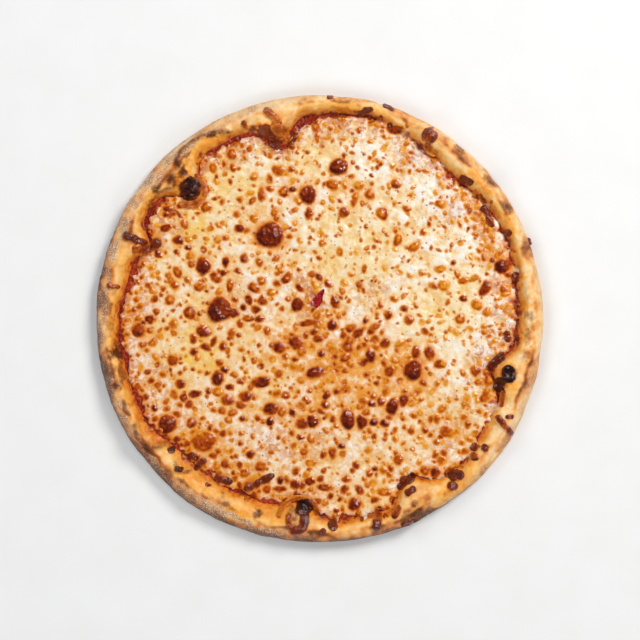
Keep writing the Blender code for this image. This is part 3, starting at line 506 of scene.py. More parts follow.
# The larger bubbles: (pixel x, pixel y, two radii in pixels, turn in degrees, rise in mm, tone from 0 for amber over
# 0.5 for brown to 1 for black)
BLISTERS = [
    (270, 235, 12.2, 12.8, -10, 3.0, 0.80), (220, 309.5, 11, 12, 0, 3.2, 0.84), (234, 313, 5, 4, 0, 1.2, 0.62),
    (308, 195, 7, 9.5, 0, 2.5, 0.78), (309, 213.5, 4, 5.5, 0, 1.2, 0.64), (338.7, 166.5, 8.5, 8, 20, 2.4, 0.62),
    (297.4, 304.7, 6, 6, 0, 2.0, 0.86), (413, 370, 8, 10, 0, 2.8, 0.76), (347.5, 419, 6, 10, 0, 2.4, 0.78),
    (361.7, 422, 4.5, 7, 10, 1.8, 0.72), (392.7, 406, 5, 8, -20, 1.9, 0.78), (403.4, 400, 4.5, 6, -25, 1.6, 0.74),
    (203.5, 266, 7, 8, 15, 1.9, 0.68), (139, 330, 7, 6, 0, 1.6, 0.50), (150.4, 319, 5, 4, 0, 1.0, 0.58),
    (190, 313, 5.5, 5.5, 0, 1.4, 0.62), (203.5, 331, 6.5, 6, 0, 1.2, 0.50), (173.6, 360, 5.5, 5, 0, 1.2, 0.42),
    (218, 378, 5.5, 7, 0, 1.8, 0.68), (261, 382, 8, 5.5, 10, 1.6, 0.66), (271, 408.6, 6.5, 6, 0, 1.6, 0.58),
    (227.4, 400, 6, 5, 0, 1.2, 0.45), (245.8, 396.4, 6, 5, 0, 1.2, 0.52), (249, 318.5, 5.5, 3, -5, 1.0, 0.64),
    (259.5, 319, 4.5, 3.2, 5, 1.0, 0.62), (219, 378, 4, 5, 0, 0.5, 0.6), (218, 392, 5, 4, 0, 1.0, 0.4),
    (279.5, 347.5, 6, 5.5, 0, 1.4, 0.52), (296.3, 343, 7, 6, 0, 1.5, 0.55), (206, 347, 5, 3.2, -10, 1.0, 0.64),
    (213.5, 342, 5, 2.6, 60, 0.9, 0.62), (332.5, 325, 5, 4.6, 0, 1.3, 0.68), (313, 421, 6, 5.6, 0, 1.5, 0.78),
    (302.5, 423, 6, 5.5, 0, 1.4, 0.50), (279, 170.6, 6, 5, 0, 1.2, 0.42), (283.6, 192, 4.5, 5, 0, 1.2, 0.60),
    (343.7, 212.7, 5.5, 4.5, 0, 1.3, 0.60), (262, 194.3, 4, 6.5, 0, 1.1, 0.50), (332.6, 185, 6, 5, 0, 1.2, 0.42),
    (274.4, 212.7, 2.8, 4.4, 0, 0.9, 0.52), (395.5, 184, 4.5, 4.5, 0, 1.1, 0.62), (370, 194.3, 4, 5, 0, 1.1, 0.64),
    (382, 213.7, 5, 6, 0, 1.4, 0.64), (358.8, 186, 5, 3.8, 0, 0.9, 0.42), (395.5, 129, 8, 5, -10, 1.4, 0.68),
    (440.4, 204.5, 5, 3.6, 0, 1.0, 0.48), (398, 239.8, 4, 6, -20, 1.1, 0.52), (414.3, 246.7, 6, 3.6, 45, 1.1, 0.52),
    (440, 269, 5, 3, 0, 0.9, 0.42), (443.4, 285.7, 5, 5, 0, 1.1, 0.30), (463.3, 280.7, 5, 3, 0, 0.8, 0.42),
    (388, 314.8, 4, 4, 0, 1.0, 0.60), (409, 320, 5, 4, -40, 1.0, 0.50), (477, 305, 5, 5, 0, 1.1, 0.45),
    (460, 319, 4.5, 4.5, 0, 1.1, 0.60), (487, 312, 3.4, 3.6, 0, 0.9, 0.45), (334.8, 302, 4, 6, 10, 1.1, 0.68),
    (350.5, 328, 4.5, 4, 0, 1.0, 0.58), (347.5, 347.4, 5, 4.5, 0, 1.1, 0.55), (345, 358, 4.5, 4, 0, 1.0, 0.55),
    (370.4, 355, 4.5, 7, 0, 1.4, 0.66), (385, 343.5, 5, 4.5, 0, 1.2, 0.55), (315.3, 372.6, 9, 5, 15, 1.4, 0.55),
    (389.5, 371, 5, 5, 0, 1.2, 0.55), (415.8, 351.8, 4, 6, 0, 1.1, 0.60), (429.6, 352.8, 5, 6, 0, 1.2, 0.58),
    (439.3, 364, 5, 4, 0, 1.0, 0.55), (447, 431.8, 7, 5.5, -20, 1.2, 0.44), (475.5, 370.6, 4.5, 5.5, 0, 1.0, 0.60),
    (260.8, 466.7, 4.6, 4.6, 0, 1.2, 0.62), (244.5, 473, 4.5, 4, 0, 1.0, 0.55), (311, 463, 4.6, 3.4, 0, 1.0, 0.34),
    (332.5, 453, 3.4, 5.6, 10, 1.0, 0.5), (325, 487.5, 7, 3.4, 0, 1.1, 0.66), (295.5, 484, 5, 4.5, 0, 1.1, 0.62),
    (310, 481, 5, 4, 30, 1.0, 0.66), (280, 489, 6, 3, 0, 0.9, 0.5), (191.6, 422.9, 4, 5, 0, 1.0, 0.62),
    (189.6, 404.5, 3.6, 3.6, 0, 0.9, 0.54), (180.4, 384, 4.5, 4.5, 0, 1.0, 0.56),
    (354.5, 504, 6.4, 6, 0, 1.5, 0.55), (398.8, 459.6, 4.6, 5, 0, 1.2, 0.42), (425, 471, 4.6, 4, 0, 1.1, 0.60),
    (435, 471.5, 4.4, 4.8, 0, 1.4, 0.78), (441.5, 460, 4, 4.6, 0, 1.0, 0.36), (384, 492, 6, 3.6, -10, 1.0, 0.42),
    (356, 465, 3, 3.4, 0, 0.9, 0.6), (369, 473, 3.2, 3.4, 0, 0.9, 0.66), (167.4, 424, 9, 9, 0, 2.0, 0.72),
    (167.6, 425, 5, 5, 0, 1.0, 1.0), (204, 441, 11.5, 9.5, 0, 1.8, 0.34), (206, 440, 6, 5, 20, 0.4, 0.62),
    (502, 266.5, 7.5, 7, 0, 2.4, 0.80), (508.5, 263, 4.6, 4, 0, 1.2, 0.72), (170, 300, 4.4, 4.4, 0, 0.9, 0.42),
    (485, 288, 5, 8, -30, 0.9, 0.62), (441, 364, 4, 4, 0, 0.9, 0.5), (232, 154, 5, 5, 0, 1.2, 0.62),
    (213, 168, 3.6, 5, 0, 1.1, 0.46), (178.5, 240.5, 5.5, 4, 0, 1.1, 0.64), (148, 234, 6, 4, 20, 1.0, 0.66),
    (156, 243, 6, 4, 20, 1.0, 0.58), (178, 272, 4, 5, 20, 1.0, 0.50), (200, 287, 4.6, 4, 0, 1.0, 0.48),
    (216, 278, 5, 4.6, 0, 1.1, 0.60), (224, 273, 4.6, 2.6, 20, 0.9, 0.6), (226, 262, 3.6, 5, 0, 1.0, 0.62),
    (206.5, 207, 5, 4.6, 0, 1.1, 0.50), (166, 228, 6, 3, 15, 1.0, 0.56), (230, 286, 3.2, 5.4, 0, 1.1, 0.64),
    (254, 288, 5.6, 4, -35, 1.0, 0.64), (240, 228.5, 5, 3.6, -20, 1.1, 0.62), (214, 275, 3, 3, 0, 0.6, 0.6),
    (288, 299, 2.6, 2.6, 0, 0.7, 0.6), (287, 278, 4, 6, -35, 0.9, 0.78), (300, 288, 5, 2.6, -45, 0.8, 0.72),
    (160, 448, 4, 3, 0, 0.8, 0.55), (225, 464, 4, 4, 0, 1.0, 0.55), (315, 285, 3, 7, 30, 1.2, 0.10),
    (312, 274, 3.4, 2.6, 0, 0.8, 0.85), (319, 277, 4.6, 2.6, -35, 0.9, 0.72), (328, 284, 4, 2.8, -50, 0.9, 0.78),
    (316, 127, 3.4, 5, 0, 0.8, 0.8), (317.5, 138, 2, 6, 0, 0.5, 0.7), (486, 397, 7, 4, 20, 0.8, 0.5),
    (478, 382, 4, 3, 0, 0.8, 0.7), (487, 371, 3, 5, -30, 0.9, 0.75), (489, 380, 4.4, 6, -20, 0.9, 0.8),
    (486, 391, 3.4, 2.6, 0, 0.6, 0.8), (309, 323, 9, 3, 5, 0.8, 0.45), (358, 333, 6, 3.4, 40, 1.0, 0.6),
]  # fmt: skip
# Small bubbles: how many, their radii in pixels, and how far from the middle they start, in mm, or None where they
# crowd together on the toasted places below
SMALL_BUBBLES = [
    (150, 2.2, 4.4, None), (80, 3.3, 4.4, 0), (190, 2.3, 3.3, 0), (110, 2.2, 3.8, 112), (300, 1.5, 2.3, 0),
    (400, 0.8, 1.5, 0),
]  # fmt: skip
# Soft regions of the cheese: (pixel x, pixel y, two radii in pixels, turn, strength)
YELLOW_OIL = [
    (215, 190, 52, 40, 30, 0.7), (190, 345, 34, 40, 0, 0.75), (240, 360, 40, 30, 0, 0.4),
    (430, 320, 36, 26, 0, 0.55), (460, 300, 24, 34, 0, 0.5), (355, 250, 46, 34, 20, 0.4),
    (300, 470, 40, 18, 0, 0.3), (330, 225, 30, 22, 0, 0.4), (180, 260, 30, 24, 0, 0.5), (470, 420, 26, 40, 30, 0.4),
    (380, 500, 50, 12, 0, 0.6), (300, 160, 30, 22, 0, 0.5), (203, 362, 20, 14, 0, 1.0), (190, 232, 26, 14, 0, 0.8),
    (480, 455, 24, 12, 45, 0.8), (168, 438, 8, 6, 0, 0.8),
]  # fmt: skip
TOASTED = [
    (345, 370, 62, 42, -20, 1.0), (300, 345, 44, 26, 0, 0.85), (405, 376, 28, 30, 0, 0.95),
    (270, 235, 22, 24, 0, 0.5), (320, 330, 24, 30, 0, 0.6), (208, 436, 24, 18, 0, 0.7), (240, 400, 40, 26, 0, 0.4),
    (385, 410, 36, 22, 0, 0.5), (300, 482, 24, 14, 0, 0.3), (370, 330, 22, 16, 0, 0.6), (372, 116, 26, 7, -12, 0.5),
    (492, 252, 10, 14, 0, 0.8), (290, 190, 30, 20, 0, 0.35), (435, 470, 34, 14, 30, 0.5),
    (430, 400, 30, 26, 0, 0.3), (150, 325, 18, 14, 0, 0.5), (345, 190, 26, 18, 0, 0.35),
    (408, 498, 18, 11, 30, 0.7), (290, 410, 26, 20, 0, 0.6), (196, 462, 26, 10, -35, 0.9),
    (255, 484, 26, 9, 20, 0.8), (487, 226, 10, 18, 20, 0.5), (468, 190, 10, 24, 45, 0.8), (505, 275, 9, 22, 0, 0.8),
    (150, 243, 16, 10, 0, 0.9), (171, 211, 9, 7, 30, 0.9),
]  # fmt: skip
THIN_OVER_SAUCE = [
    (250, 300, 22, 10, -30, 0.4), (300, 285, 20, 12, -35, 0.6), (312, 305, 12, 22, -15, 0.9),
    (235, 155, 26, 14, 20, 0.6), (330, 128, 60, 10, 0, 0.6), (165, 225, 22, 18, 40, 0.5),
    (140, 300, 12, 46, 0, 0.7), (155, 395, 18, 34, -10, 0.6), (215, 470, 44, 20, -25, 0.7),
    (300, 494, 70, 10, 0, 0.5), (490, 240, 14, 44, 15, 0.5), (497, 330, 10, 50, 0, 0.5),
    (448, 172, 20, 12, -30, 0.6), (240, 210, 18, 10, 0, 0.3), (370, 290, 26, 14, 30, 0.3),
    (290, 440, 60, 26, 0, 0.4), (268, 450, 16, 10, 0, 0.7), (480, 365, 14, 20, 0, 0.6), (482, 214, 14, 30, 30, 1.0),
    (500, 265, 10, 24, 0, 1.0), (462, 180, 20, 10, -45, 0.8), (180, 415, 20, 20, 0, 0.5), (488, 384, 9, 18, 0, 1.2),
    (172, 212, 12, 10, 0, 1.2), (410, 150, 16, 16, 0, 0.7), (318, 130, 6, 16, 0, 1.0),
    (462, 428, 24, 34, -35, 0.55), (492, 392, 8, 14, 0, 1.0), (450, 210, 16, 12, 0, 0.5),
    (390, 130, 40, 12, -15, 0.35), (405, 165, 22, 16, 0, 0.25),
]  # fmt: skip
# How far the cheese's edge stays inside the rim's foot, in mm, or climbs the rim where the number is below 0
SAUCE_SHOWING = ring_of([
    (0, 0.8), (10, 0.7), (24, 0.1), (30, -0.8), (40, -1.0), (45, 0.8), (47.5, 4.0), (50, 0.4), (55, -0.5),
    (57, 1.5), (61, 0.5), (64, -1.0), (74, -0.6), (79, 1.0), (83, 2.6), (88, 4.0), (95, 5.2), (99, 4.0), (103, 1.6),
    (106, 2.5), (112, 3.6), (118, 3.2), (123, 1.0), (131, 0.4), (139, 0.3), (142, 2.6), (150, 3.2), (154, 1.2),
    (161, 0.8), (165, 2.2), (176, 2.4), (182, 1.2), (187, 1.6), (191, 4.5), (194, 1.4), (200, 0.8), (203, 5.0),
    (207, 4.0), (210, 0.6), (228, 0.8), (240, 1.6), (250, 2.0), (257, 2.8), (262, 0.4), (268, 0.2), (274, 0.3),
    (282, -0.8), (290, -1.6), (299, -0.6), (334, -0.6), (341, 0.8), (350, 2.0)], 1.5)  # fmt: skip
CHEESE_TOP = 7.2
CHEESE_REACH = 143.0  # half the square that the sheet is cut from
BUBBLE_REACH = 141.0  # and the largest radius that a small bubble is thrown to
CHEESE_STEP = 1.06  # spacing of the plain sheet's points
RING_STEP = 0.85  # and of the rings round a bubble
EDGE_POINTS, TEAR_POINTS = 900, 36
edge_turns = np.linspace(0, math.tau, EDGE_POINTS, endpoint=False)
round_line = on_circles(135, edge_turns, 0)
edge_radii = at_turn(FOOT - SAUCE_SHOWING, edge_turns) + 0.2
edge_radii = edge_radii + 1.8 * noise_at(round_line, 6.0, 41) + 1.7 * noise_at(round_line, 2.6, 42)


def edge_at(turn):
    """How far from the middle the cheese's edge lies in each direction."""
    return np.interp(turn, edge_turns, edge_radii, period=math.tau)


def inside_cheese(points, margin):
    """Which points lie this far inside the cheese's edge, and outside the tear."""
    turn, radius = polar(points)
    along, across = along_and_across(points[:, 0] - TEAR_X, points[:, 1] - TEAR_Y, TEAR_TURN)
    clear = np.hypot(along / (TEAR_LONG / 2 + margin), across / (TEAR_WIDE / 2 + margin)) > 1
    return clear & (radius < edge_at(turn) - margin)


def paler(x, y):
    """How far the cheese stayed pale: 0 at the lower left, 1 at the upper right."""
    return steps(x + y, -20, 90)


def lower_right(x, y):
    """1 at the lower right, where the bubbles stayed lighter, and 0 elsewhere."""
    return steps(x, 20, 80) * steps(y, -10, -50)


bubble_list = []
for px, py, long, wide, degrees, rise, tone in BLISTERS:
    x, y = from_photo(px, py)
    tone -= 0.12 * paler(x, y) * (rise < 1.5) + 0.85 * max(0, min(tone, 0.9) - 0.6)
    long, wide = 1.06 * MM_PER_PIXEL * long, 1.06 * MM_PER_PIXEL * wide
    tone -= 0.1 * lower_right(x, y) * (rise < 1.5)
    bubble_list.append((x, y, long, wide, math.radians(degrees), rise, tone))
dice = np.random.default_rng(12)
for count, smallest, largest, start in SMALL_BUBBLES:
    thrown = 0
    for _ in range(count * 6):
        size = dice.uniform(smallest, largest) * MM_PER_PIXEL
        if start is None:
            px, py, long, wide, degrees, _ = TOASTED[dice.integers(len(TOASTED))]
            x, y = from_photo(px + dice.normal(0, 0.5 * long), py + dice.normal(0, 0.5 * wide))
        else:
            turn, radius = dice.uniform(0, math.tau), math.sqrt(dice.uniform(start**2, BUBBLE_REACH**2))
            x, y = radius * math.cos(turn), radius * math.sin(turn)
        known = np.array(bubble_list)
        gap = np.hypot(known[:, 0] - x, known[:, 1] - y) - (known[:, 2] + known[:, 3]) / 2 - size
        least = -0.4 * size if dice.uniform() < (0.35 if start is not None else 0.8) else 0.25
        if thrown == count or gap.min() < least or not inside_cheese(np.array([[x, y]]), size * 0.6)[0]:
            continue
        size *= 1 - 0.2 * paler(x, y)
        long = size * dice.uniform(1.0, 1.2 + 0.15 * paler(x, y))
        tone = dice.normal(0.46, 0.13) + 0.03 * (size - 1.5) - 0.12 * paler(x, y) - 0.1 * (start == 112)
        tone += 0.2 * paler(x, y) * (size < 1.5)
        tone = np.clip(tone - 0.1 * lower_right(x, y), 0.12, 0.75)
        rise = size * (0.4 if dice.uniform() < 0.8 else -0.25)
        bubble_list.append((x, y, long, size * size / long, dice.uniform(0, math.pi), rise, tone))
        thrown += 1
cheese_bubbles = np.array(bubble_list)
wobbles = dice.uniform(0, math.tau, (len(cheese_bubbles), 2))
# Painted shade: each bubble is coloured darker on one side, mostly towards the lower left, away from the light
shaded_sides = math.radians(225) + dice.normal(0, 0.9, len(cheese_bubbles))
amber_share = 0.3 + 0.35 * paler(cheese_bubbles[:, 0], cheese_bubbles[:, 1])
amber_middles = np.where(dice.uniform(size=len(cheese_bubbles)) < amber_share, 0.45, 0.0)


def wobble_at(i, angle):
    """How far a bubble's edge strays from its oval in this direction."""
    return 1 + 0.06 * np.cos(2 * angle + wobbles[i, 0]) + 0.05 * np.cos(3 * angle + wobbles[i, 1])


def bent(places):
    """How far the bubbles' outlines are pushed about at each place, in mm."""
    flat = np.column_stack([places, np.zeros(len(places))])
    wide, fine = ([noise_at(flat, length, seed) for seed in (44, 45)] for length in (3.4, 1.6))
    return 0.42 * np.stack(wide, axis=1) + 0.16 * np.stack(fine, axis=1)


ring_points = []
for i, (x, y, long, wide, turn, rise, tone) in enumerate(cheese_bubbles):
    size = math.sqrt(long * wide)
    for radius in [size + 0.75, *np.arange(size, 0.35, -0.9), 0.0]:
        count = max(1, round(math.tau * radius / RING_STEP))
        angle = np.arange(count) * math.tau / count + radius * 2
        share = radius / size * wobble_at(i, angle)
        u, v = share * np.cos(angle) * long, share * np.sin(angle) * wide
        ring_points.append(np.stack([x + u * math.cos(turn) - v * math.sin(turn),
                                     y + u * math.sin(turn) + v * math.cos(turn)], axis=1))  # fmt: skip
ring_points = np.concatenate(ring_points)
ring_points = ring_points - bent(ring_points)


def bubble_fields(places):
    """For each place: how deep it lies in a bubble, as 0.5 on its edge and 0.25 more for each mm inwards, the
    bubble's tone with painted shade on one side, the golden stain round it, and its relief in mm."""
    places = places + bent(places)
    order = np.argsort(places[:, 0])
    ordered = places[order, 0]
    depth = np.full(len(places), -9.0)
    tone, stain, relief = (np.zeros(len(places)) for _ in range(3))
    for i, (x, y, long, wide, turn, rise, shade) in enumerate(cheese_bubbles):
        size = math.sqrt(long * wide)
        reach = long + 2.5 + size * 0.5
        near = order[np.searchsorted(ordered, x - reach) : np.searchsorted(ordered, x + reach)]
        near = near[np.abs(places[near, 1] - y) < reach]
        dx, dy = places[near, 0] - x, places[near, 1] - y
        along, across = along_and_across(dx, dy, turn)
        u, v = along / long, across / wide
        off = np.hypot(u, v) / wobble_at(i, np.arctan2(v, u))
        inside = (1 - off) * size
        deeper = inside > depth[near]
        depth[near] = np.maximum(depth[near], inside)
        # Painted shade: how far towards the bubble's darker side a place lies
        shade_lean = (dx * math.cos(shaded_sides[i]) + dy * math.sin(shaded_sides[i])) / size
        wrinkles = noise_at(np.column_stack([places[near], 0 * off]), 1.8, 46) * min(1, size / 3.2)
        own = shade + (0.1 if size < 4 else 0.16) * np.clip(shade_lean, -1, 1) + 0.14 * wrinkles
        own -= amber_middles[i] * np.clip(1.1 - off * 1.3, 0, 1) * (size < 4)
        tone[near[deeper]] = own[deeper]
        halo = np.exp(-np.clip(-inside, 0, None) / (0.6 + 0.28 * size)) * min(1, 0.55 + 0.15 * size + 0.3 * shade)
        stain[near] = np.maximum(stain[near], halo)
        dome = rise * (1 - np.clip(off, 0, 1) ** 2) ** (0.55 if rise > 1.5 else 0.8)
        dome *= 1 + 0.32 * wrinkles
        relief[near] += dome - 0.14 * abs(rise) * np.clip(1 - np.abs(off - 1.18) / 0.22, 0, 1)
    return np.clip(0.5 + depth / 4, 0, 1), tone, stain, relief


columns = np.arange(-CHEESE_REACH, CHEESE_REACH, CHEESE_STEP)
rows = np.arange(-CHEESE_REACH, CHEESE_REACH, CHEESE_STEP * math.sqrt(3) / 2)
grid_x, grid_y = np.meshgrid(columns, rows)
grid_x = grid_x + CHEESE_STEP / 2 * (np.arange(len(rows)) % 2)[:, None]
sheet = np.stack([grid_x.ravel(), grid_y.ravel()], axis=1) + dice.uniform(-0.22, 0.22, (grid_x.size, 2))
sheet = sheet[inside_cheese(sheet, 0.5)]
sheet = sheet[bubble_fields(sheet)[0] < 0.18]
inner = np.concatenate([ring_points[inside_cheese(ring_points, 0.4)], sheet])
_, first = np.unique(np.round(inner / 0.45).astype(int), axis=0, return_index=True)
inner = inner[np.sort(first)]
edge_loop = on_circles(edge_radii, edge_turns, 0)[:, :2]
hole_turns = np.linspace(0, math.tau, TEAR_POINTS, endpoint=False)
hole_size = 1 + 0.16 * np.cos(3 * hole_turns) + 0.08 * np.cos(5 * hole_turns + 1)
u, v = hole_size * np.cos(hole_turns) * TEAR_LONG / 2, hole_size * np.sin(hole_turns) * TEAR_WIDE / 2
tear_loop = np.stack([TEAR_X + u * math.cos(TEAR_TURN) - v * math.sin(TEAR_TURN),
                      TEAR_Y + u * math.sin(TEAR_TURN) + v * math.cos(TEAR_TURN)], axis=1)  # fmt: skip
loops = [edge_loop, tear_loop]


def filled(loops, inner):
    """Points and triangles inside the first loop and outside the second."""
    places = np.concatenate([*loops, inner])
    starts = np.cumsum([0, *(len(loop) for loop in loops)])
    outlines = [list(range(start, start + len(loop))) for start, loop in zip(starts, loops)]
    made = delaunay_2d_cdt([Vector(p) for p in places], [], outlines, 0, 1e-6, True)
    triangles = [tuple(t) for t, outline in zip(made[2], made[5]) if outline == [0]]
    return np.array([tuple(p) for p in made[0]]), triangles


top_places, top_faces = filled(loops, inner)
low_places, low_faces = filled(loops, np.zeros((0, 2)))
flat = np.column_stack([top_places, np.zeros(len(top_places))])
depth, tone, stain, relief = bubble_fields(top_places)
turn, radius = polar(flat)
from_edge = edge_at(turn) - radius
from_tear = np.hypot(flat[:, 0] - TEAR_X, flat[:, 1] - TEAR_Y)
fullness = np.sqrt(1 - (1 - np.clip(from_edge / 4.0, 0, 1)) ** 2) * (0.25 + 0.75 * steps(from_tear, 3.0, 8.0))
waves = 0.40 * noise_at(flat, 15, 51) + 0.36 * noise_at(flat, 6, 52) + 0.24 * noise_at(flat, 2.8, 53)
waves += 0.10 * (1 - 2 * np.abs(noise_at(flat, 2.2, 54)))
carried = np.maximum(height_on(crust_tree, flat), height_on(sauce_tree, flat))
bottom = SAUCE_TOP + 0.2
top = bottom + 0.5 + (CHEESE_TOP - bottom - 0.5 + waves) * fullness
top = np.maximum(top, carried + 0.3 + 1.0 * steps(from_edge, 0, 3.0)) + relief * np.clip(from_edge / 2.5, 0.3, 1)
top[: len(edge_loop)] = carried[: len(edge_loop)] + 0.12
low_heights = np.full(len(low_places), bottom)
low_heights[: len(edge_loop)] = carried[: len(edge_loop)] - 0.3
walls = []
for start, end in ((0, len(edge_loop)), (len(edge_loop), len(low_places))):
    for a in range(start, end):
        b = a + 1 if a + 1 < end else start
        walls.append((b, a, a + len(top_places), b + len(top_places)))
lower = [tuple(len(top_places) + i for i in reversed(face)) for face in low_faces]
cheese_points = np.concatenate([np.column_stack([top_places, top]), np.column_stack([low_places, low_heights])])
cheese_faces = top_faces + lower + walls
cheese = new_piece("cheese_melted", cheese_points, cheese_faces)

thin = blobs_at(flat, THIN_OVER_SAUCE, 1.2, 0.4, 61)
thin_edge = ring_of([(0, 1), (262, 1), (278, 0.3), (325, 0.3), (342, 1)], 6)  # less so at the lower right
thin = np.maximum(thin, 0.9 * at_turn(thin_edge, turn) * steps(from_edge, 16.0, 1.0))
thin *= 0.75 + 0.5 * noise_at(flat, 5, 62)
yellow = blobs_at(flat, YELLOW_OIL, 1.3, 0.4, 64) * (0.8 + 0.4 * noise_at(flat, 6, 65))
toasted = blobs_at(flat, TOASTED, 1.3, 0.4, 66) * (0.8 + 0.4 * noise_at(flat, 6, 67))
toasted = np.maximum(toasted, 0.22 * steps(flat[:, 0] + flat[:, 1] + 25 * noise_at(flat, 18, 68), 60, -60))
# The last field is painted light and shade by the sheet's height
fields = [depth, tone, stain, 0.5 + 0.5 * noise_at(flat, 20, 63), yellow, toasted, thin, steps(waves, -0.5, 0.5)]
fields = [np.concatenate([field, np.zeros(len(low_places))]) for field in fields]
paint(cheese, "bubble", *fields[:4])
paint(cheese, "regions_and_shade", *fields[4:])

# Melted low-moisture mozzarella: smooth, soft and oily, cream where thick, yellow where its fat pooled, pinkish over
# the sauce. The bubbles run from amber through red-brown to black, and shine.
melted, tree, shader, place = new_material("melted_mozzarella")
bubble = add(tree, "Attribute", attribute_name="bubble")
spot = add(tree, "SeparateColor", {0: bubble.outputs["Color"]}).outputs
regions_and_shade = add(tree, "Attribute", attribute_name="regions_and_shade")
zone = add(tree, "SeparateColor", {0: regions_and_shade.outputs["Color"]}).outputs
fine = add(tree, "TexNoise", {"Vector": place, "Scale": 1 / (0.9 * MM), "Detail": 1.0})
web = add(tree, "TexNoise", {"Vector": place, "Scale": 1 / (2.6 * MM), "Detail": 2.0, "Distortion": 0.5})
cloud = add(tree, "TexNoise", {"Vector": place, "Scale": 1 / (6.5 * MM), "Detail": 2.0})
# The plain sheet, with painted light and shade: whiter where it stands higher, darker in its low places
base = add(tree, "Math", {0: web, 1: 0.45, 2: cloud}, operation="MULTIPLY_ADD")
base = add(tree, "Math", {0: regions_and_shade.outputs["Alpha"], 1: 0.3, 2: base}, operation="MULTIPLY_ADD")
base = add(tree, "MapRange", {0: base, 1: 0.64, 2: 1.12})
base = add(tree, "ValToRGB", {0: base}, [
    (0.05, "F4C88A"), (0.3, "FADBAA"), (0.5, "FEE7C4"), (0.7, "FFEFD6"), (0.95, "FFF8EC")])  # fmt: skip
# Pools of yellow fat
share = add(tree, "MapRange", {0: cloud, 1: 0.35, 2: 0.6, 3: 0.4, 4: 1.0})
share = add(tree, "Math", {0: share, 1: zone["Red"]}, operation="MULTIPLY")
base = add(tree, "Mix", {0: share, 6: base, 7: "F8CE4C"}, data_type="RGBA")
# Pink where the sauce shows through, and red-brown in the narrow valleys between strings of cheese: sauce where the
# cheese is thin over it, and painted shade in the hollows elsewhere
share = add(tree, "MapRange", {0: web, 1: 0.62, 2: 0.4, 3: 0.1, 4: 0.9})
pink = add(tree, "Math", {0: share, 1: zone["Blue"]}, operation="MULTIPLY")
base = add(tree, "Mix", {0: pink, 6: base, 7: "E09A70"}, data_type="RGBA")
strings = add(tree, "TexNoise", {"Vector": place, "Scale": 1 / (4.2 * MM), "Detail": 1.0, "Distortion": 1.2})
valley_sauce_and_shade = add(tree, "Math", {0: zone["Blue"], 1: -0.14, 2: strings}, operation="MULTIPLY_ADD")
valley_sauce_and_shade = add(tree, "MapRange", {0: valley_sauce_and_shade, 1: 0.5, 2: 0.36, 4: 0.95})
share = add(tree, "Math", {0: zone["Blue"], 1: 0.88, 2: 0.12}, operation="MULTIPLY_ADD")
valley_sauce_and_shade = add(tree, "Math", {0: valley_sauce_and_shade, 1: share}, operation="MULTIPLY")
base = add(tree, "Mix", {0: valley_sauce_and_shade, 6: base, 7: "B84E22"}, data_type="RGBA")
# Golden where it toasted
share = add(tree, "MapRange", {0: strings, 1: 0.64, 2: 0.42, 3: 0.2, 4: 1.1})
gold = add(tree, "Math", {0: share, 1: zone["Green"]}, operation="MULTIPLY")
base = add(tree, "Mix", {0: gold, 6: base, 7: "EE9628"}, data_type="RGBA")
# Freckles of many sizes, from amber to brown
cells = add(tree, "TexVoronoi", {"Vector": place, "Scale": 1 / (2.6 * MM)})
chance = add(tree, "SeparateColor", {0: cells.outputs["Color"]}).outputs
size = add(tree, "MapRange", {0: chance["Red"], 1: 0.35, 2: 1.0, 3: -0.22, 4: 0.12})
size = add(tree, "Math", {0: fine, 1: 0.3, 2: size}, operation="MULTIPLY_ADD")
inside = add(tree, "Math", {0: size, 1: cells.outputs["Distance"]}, operation="SUBTRACT")
freckle = add(tree, "MapRange", {0: inside, 1: -0.05, 2: 0.04, 4: 0.85})
freckle_colour = add(tree, "Mix", {0: chance["Green"], 6: "E2B040", 7: "8A4412"}, data_type="RGBA")
base = add(tree, "Mix", {0: freckle, 6: base, 7: freckle_colour}, data_type="RGBA")
# A golden stain round each bubble
halo = add(tree, "Math", {0: web, 1: 0.6, 2: spot["Blue"]}, operation="MULTIPLY_ADD")
halo = add(tree, "Math", {0: zone["Green"], 1: 0.5, 2: halo}, operation="MULTIPLY_ADD")
halo_colour = add(tree, "MapRange", {0: halo, 1: 0.9, 2: 1.7})
halo_colour = add(tree, "Mix", {0: halo_colour, 6: "EEA03C", 7: "D26C16"}, data_type="RGBA")
halo = add(tree, "MapRange", {0: halo, 1: 0.58, 2: 1.24, 4: 0.95})
base = add(tree, "Mix", {0: halo, 6: base, 7: halo_colour}, data_type="RGBA")
# The bubbles themselves, lighter along the edge
edge = add(tree, "Math", {0: fine, 1: 0.12, 2: spot["Red"]}, operation="MULTIPLY_ADD")
edge = add(tree, "Math", {0: web, 1: 0.36, 2: edge}, operation="MULTIPLY_ADD")
mask = add(tree, "MapRange", {0: edge, 1: 0.54, 2: 0.9})
rim = add(tree, "MapRange", {0: edge, 1: 0.64, 2: 1.04, 3: -0.3, 4: 0.05})
level = add(tree, "Math", {0: web, 1: 0.35, 2: spot["Green"]}, operation="MULTIPLY_ADD")
level = add(tree, "Math", {0: level, 1: rim}, operation="ADD")
spot_colour = add(tree, "ValToRGB", {0: level}, [
    (0.12, "F0AC38"), (0.3, "E08818"), (0.46, "CA6408"), (0.62, "B04606"),
    (0.8, "842A06"), (1.0, "541008")])  # fmt: skip
black = add(tree, "MapRange", {0: level, 1: 1.1, 2: 1.5})
spot_colour = add(tree, "Mix", {0: black, 6: spot_colour, 7: "280806"}, data_type="RGBA")
base = add(tree, "Mix", {0: mask, 6: base, 7: spot_colour}, data_type="RGBA")
roughness = add(tree, "MapRange", {0: mask, 3: 0.28, 4: 0.13})
relief = add(tree, "Math", {0: fine, 1: 0.5, 2: web}, operation="MULTIPLY_ADD")
relief = add(tree, "Math", {0: relief, 1: 1.2}, operation="MULTIPLY")
